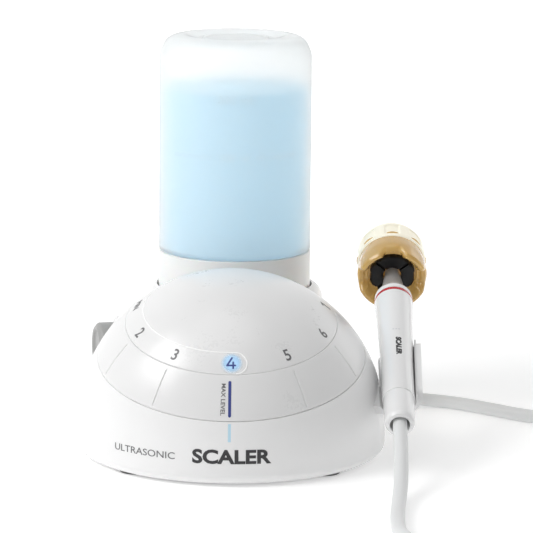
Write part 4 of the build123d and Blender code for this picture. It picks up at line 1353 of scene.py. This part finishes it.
# ---------------------------------------------------------------- rear marks
def add_rear_marks():
    """Plain words on the rear panel and the two marks on the power rocker."""
    bm = bmesh.new()
    letters(bm, "FOOT SWITCH", 1.5 * MM, on_rear_face(7.0 * MM, 36.4 * MM, rear_face_y), width=13.5 * MM)
    letters(bm, "MAINS", 1.5 * MM, on_rear_face(-17.0 * MM, 33.0 * MM, rear_face_y), width=6.5 * MM)
    ridden(finished("panel_words", bm, print_grey), "unit", "panel_white")
    pivot = Vector(joints["power_rocker_tilt"]["pos_m"])
    bm = bmesh.new()
    for text, height, lean in (("I", 3.6 * MM, 1.1 / 6.8), ("O", -3.6 * MM, -2.5 / 6.8)):

        def on_rocker(right, up, out, height=height, lean=lean):
            z = height + up
            return pivot + Vector((-right, 0.9 * MM + lean * z + out, z))

        letters(bm, text, 2.6 * MM, on_rocker, weight=0.0)
    ridden(finished("rocker_marks", bm, white_print_and_highlight), "power_rocker", "socket_black")


add_rear_marks()


# ---------------------------------------------------------------- studio
def add_light(name, at, aim, size, watts):
    lamp = bpy.data.lights.new(name, "AREA")
    lamp.shape = "RECTANGLE"
    lamp.size, lamp.size_y = size
    lamp.energy = watts
    light = bpy.data.objects.new(name, lamp)
    light.location = at
    light.rotation_euler = (Vector(aim) - Vector(at)).to_track_quat("-Z", "Y").to_euler()
    scene.collection.objects.link(light)


def floor_finish():
    """White paper that glows a little, more so far from the object."""
    paper = surface("floor_paper", (0.93, 0.93, 0.93), (0.7, 0.8), grain=200.0, bump=0.05, mottle=0.995)
    tree = paper.node_tree
    shader = tree.nodes["Principled BSDF"]
    where = node(tree, "ShaderNodeTexCoord").outputs["Object"]
    distance = node(tree, "ShaderNodeVectorMath", {"operation": "LENGTH"}, {0: where})
    far = node(tree, "ShaderNodeMapRange", None,
               {"Value": distance.outputs["Value"], "From Min": 0.25, "From Max": 1.2, "To Min": 0.24,
                "To Max": 0.75})
    glow = mixed(tree, far.outputs["Result"], (0.0, 0.0, 0.0), (1.0, 1.0, 1.0))
    tree.links.new(glow, shader.inputs["Emission Color"])
    shader.inputs["Emission Strength"].default_value = 1.0
    return paper


def add_surroundings():
    """White room, brighter behind the object than in front of it, and plain white to the camera."""
    world = bpy.data.worlds.new("studio")
    world.use_nodes = True
    tree = world.node_tree
    where = node(tree, "ShaderNodeTexCoord").outputs["Generated"]
    parts = node(tree, "ShaderNodeSeparateXYZ", None, {"Vector": where})
    behind = node(tree, "ShaderNodeMapRange", None,
                  {"Value": parts.outputs["Y"], "From Min": -0.2, "From Max": 0.9, "To Min": 0.0,
                   "To Max": 1.0})
    light = mixed(tree, behind.outputs["Result"], (0.31, 0.31, 0.31), (0.95, 0.95, 0.95))
    seen = node(tree, "ShaderNodeLightPath").outputs["Is Camera Ray"]
    tree.links.new(mixed(tree, seen, light, (1.0, 1.0, 1.0)), tree.nodes["Background"].inputs["Color"])
    scene.world = world


def add_studio():
    """Pale floor, white room, large soft light from the left, one from above and one from behind."""
    bm = bmesh.new()
    bmesh.ops.create_grid(bm, x_segments=2, y_segments=2, size=4.0)
    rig.stage(finished("floor", bm, floor_finish(), recalculate=False))
    add_surroundings()
    target = Vector((0.0, 0.0, 0.06))
    distance = 1.4
    add_light("key", target + Vector((-0.8, -0.25, 0.75)) * distance, target, (0.8, 0.8), 12.0)
    add_light("top", target + Vector((-0.1, -0.15, 1.0)) * distance, target, (1.0, 1.0), 3.5)
    add_light("rim", target + Vector((0.75, 0.63, 0.25)) * distance, target, (0.6, 0.9), 1.2)
    scene.view_settings.view_transform = "Standard"


add_studio()


# ---------------------------------------------------------------- carried-over frame nodes
cad_finishes = {
    "casing_white": ["base_shell"],
    "plate_grey": ["bottom_plate"],
    "foot_rubber": ["rubber_feet", "seat_seal", "cap_seal"],
    "screw_steel": ["dial_screws", "knob_shaft", "board_standoffs"],
    "inner_plastic": ["dial_hub", "dial_deck", "dial_encoder", "bottle_seat", "valve_body", "cord_gland"],
    "bearing_bronze": ["dial_bushing"],
    "board_green": ["lamp_board", "main_board"],
    "copper_wire": ["transformer"],
    "heat_sink_black": ["driver_heat_sink"],
    "collar_white": ["bottle_cap"],
    "soft_tube": ["cap_valve", "feed_tube", "outlet_tube"],
    "light_guide": ["index_light_guide"],
    "nose_steel": ["scaler_tip"],
    "titanium": ["back_mass", "ultrasonic_horn"],
    "ceramic": ["piezo_stack"],
    "liner_pale": ["cradle_liner"],
    "panel_white": ["rear_panel"],
    "socket_black": ["mains_inlet", "footswitch_socket", "switch_frame", "power_rocker"],
    "cord_grey": ["cord_sleeve"],
}
for finish_name, node_names in cad_finishes.items():
    for node_name in node_names:
        frame["nodes"][node_name].material_slots[0].material = bpy.data.materials[finish_name]

# ---------------------------------------------------------------- sizes and the end
visual_low, visual_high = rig.bounds()
with open("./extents.json", "w") as size_file:
    json.dump({"cad": [list(cad_low), list(cad_high)], "visual": [list(visual_low), list(visual_high)]}, size_file)
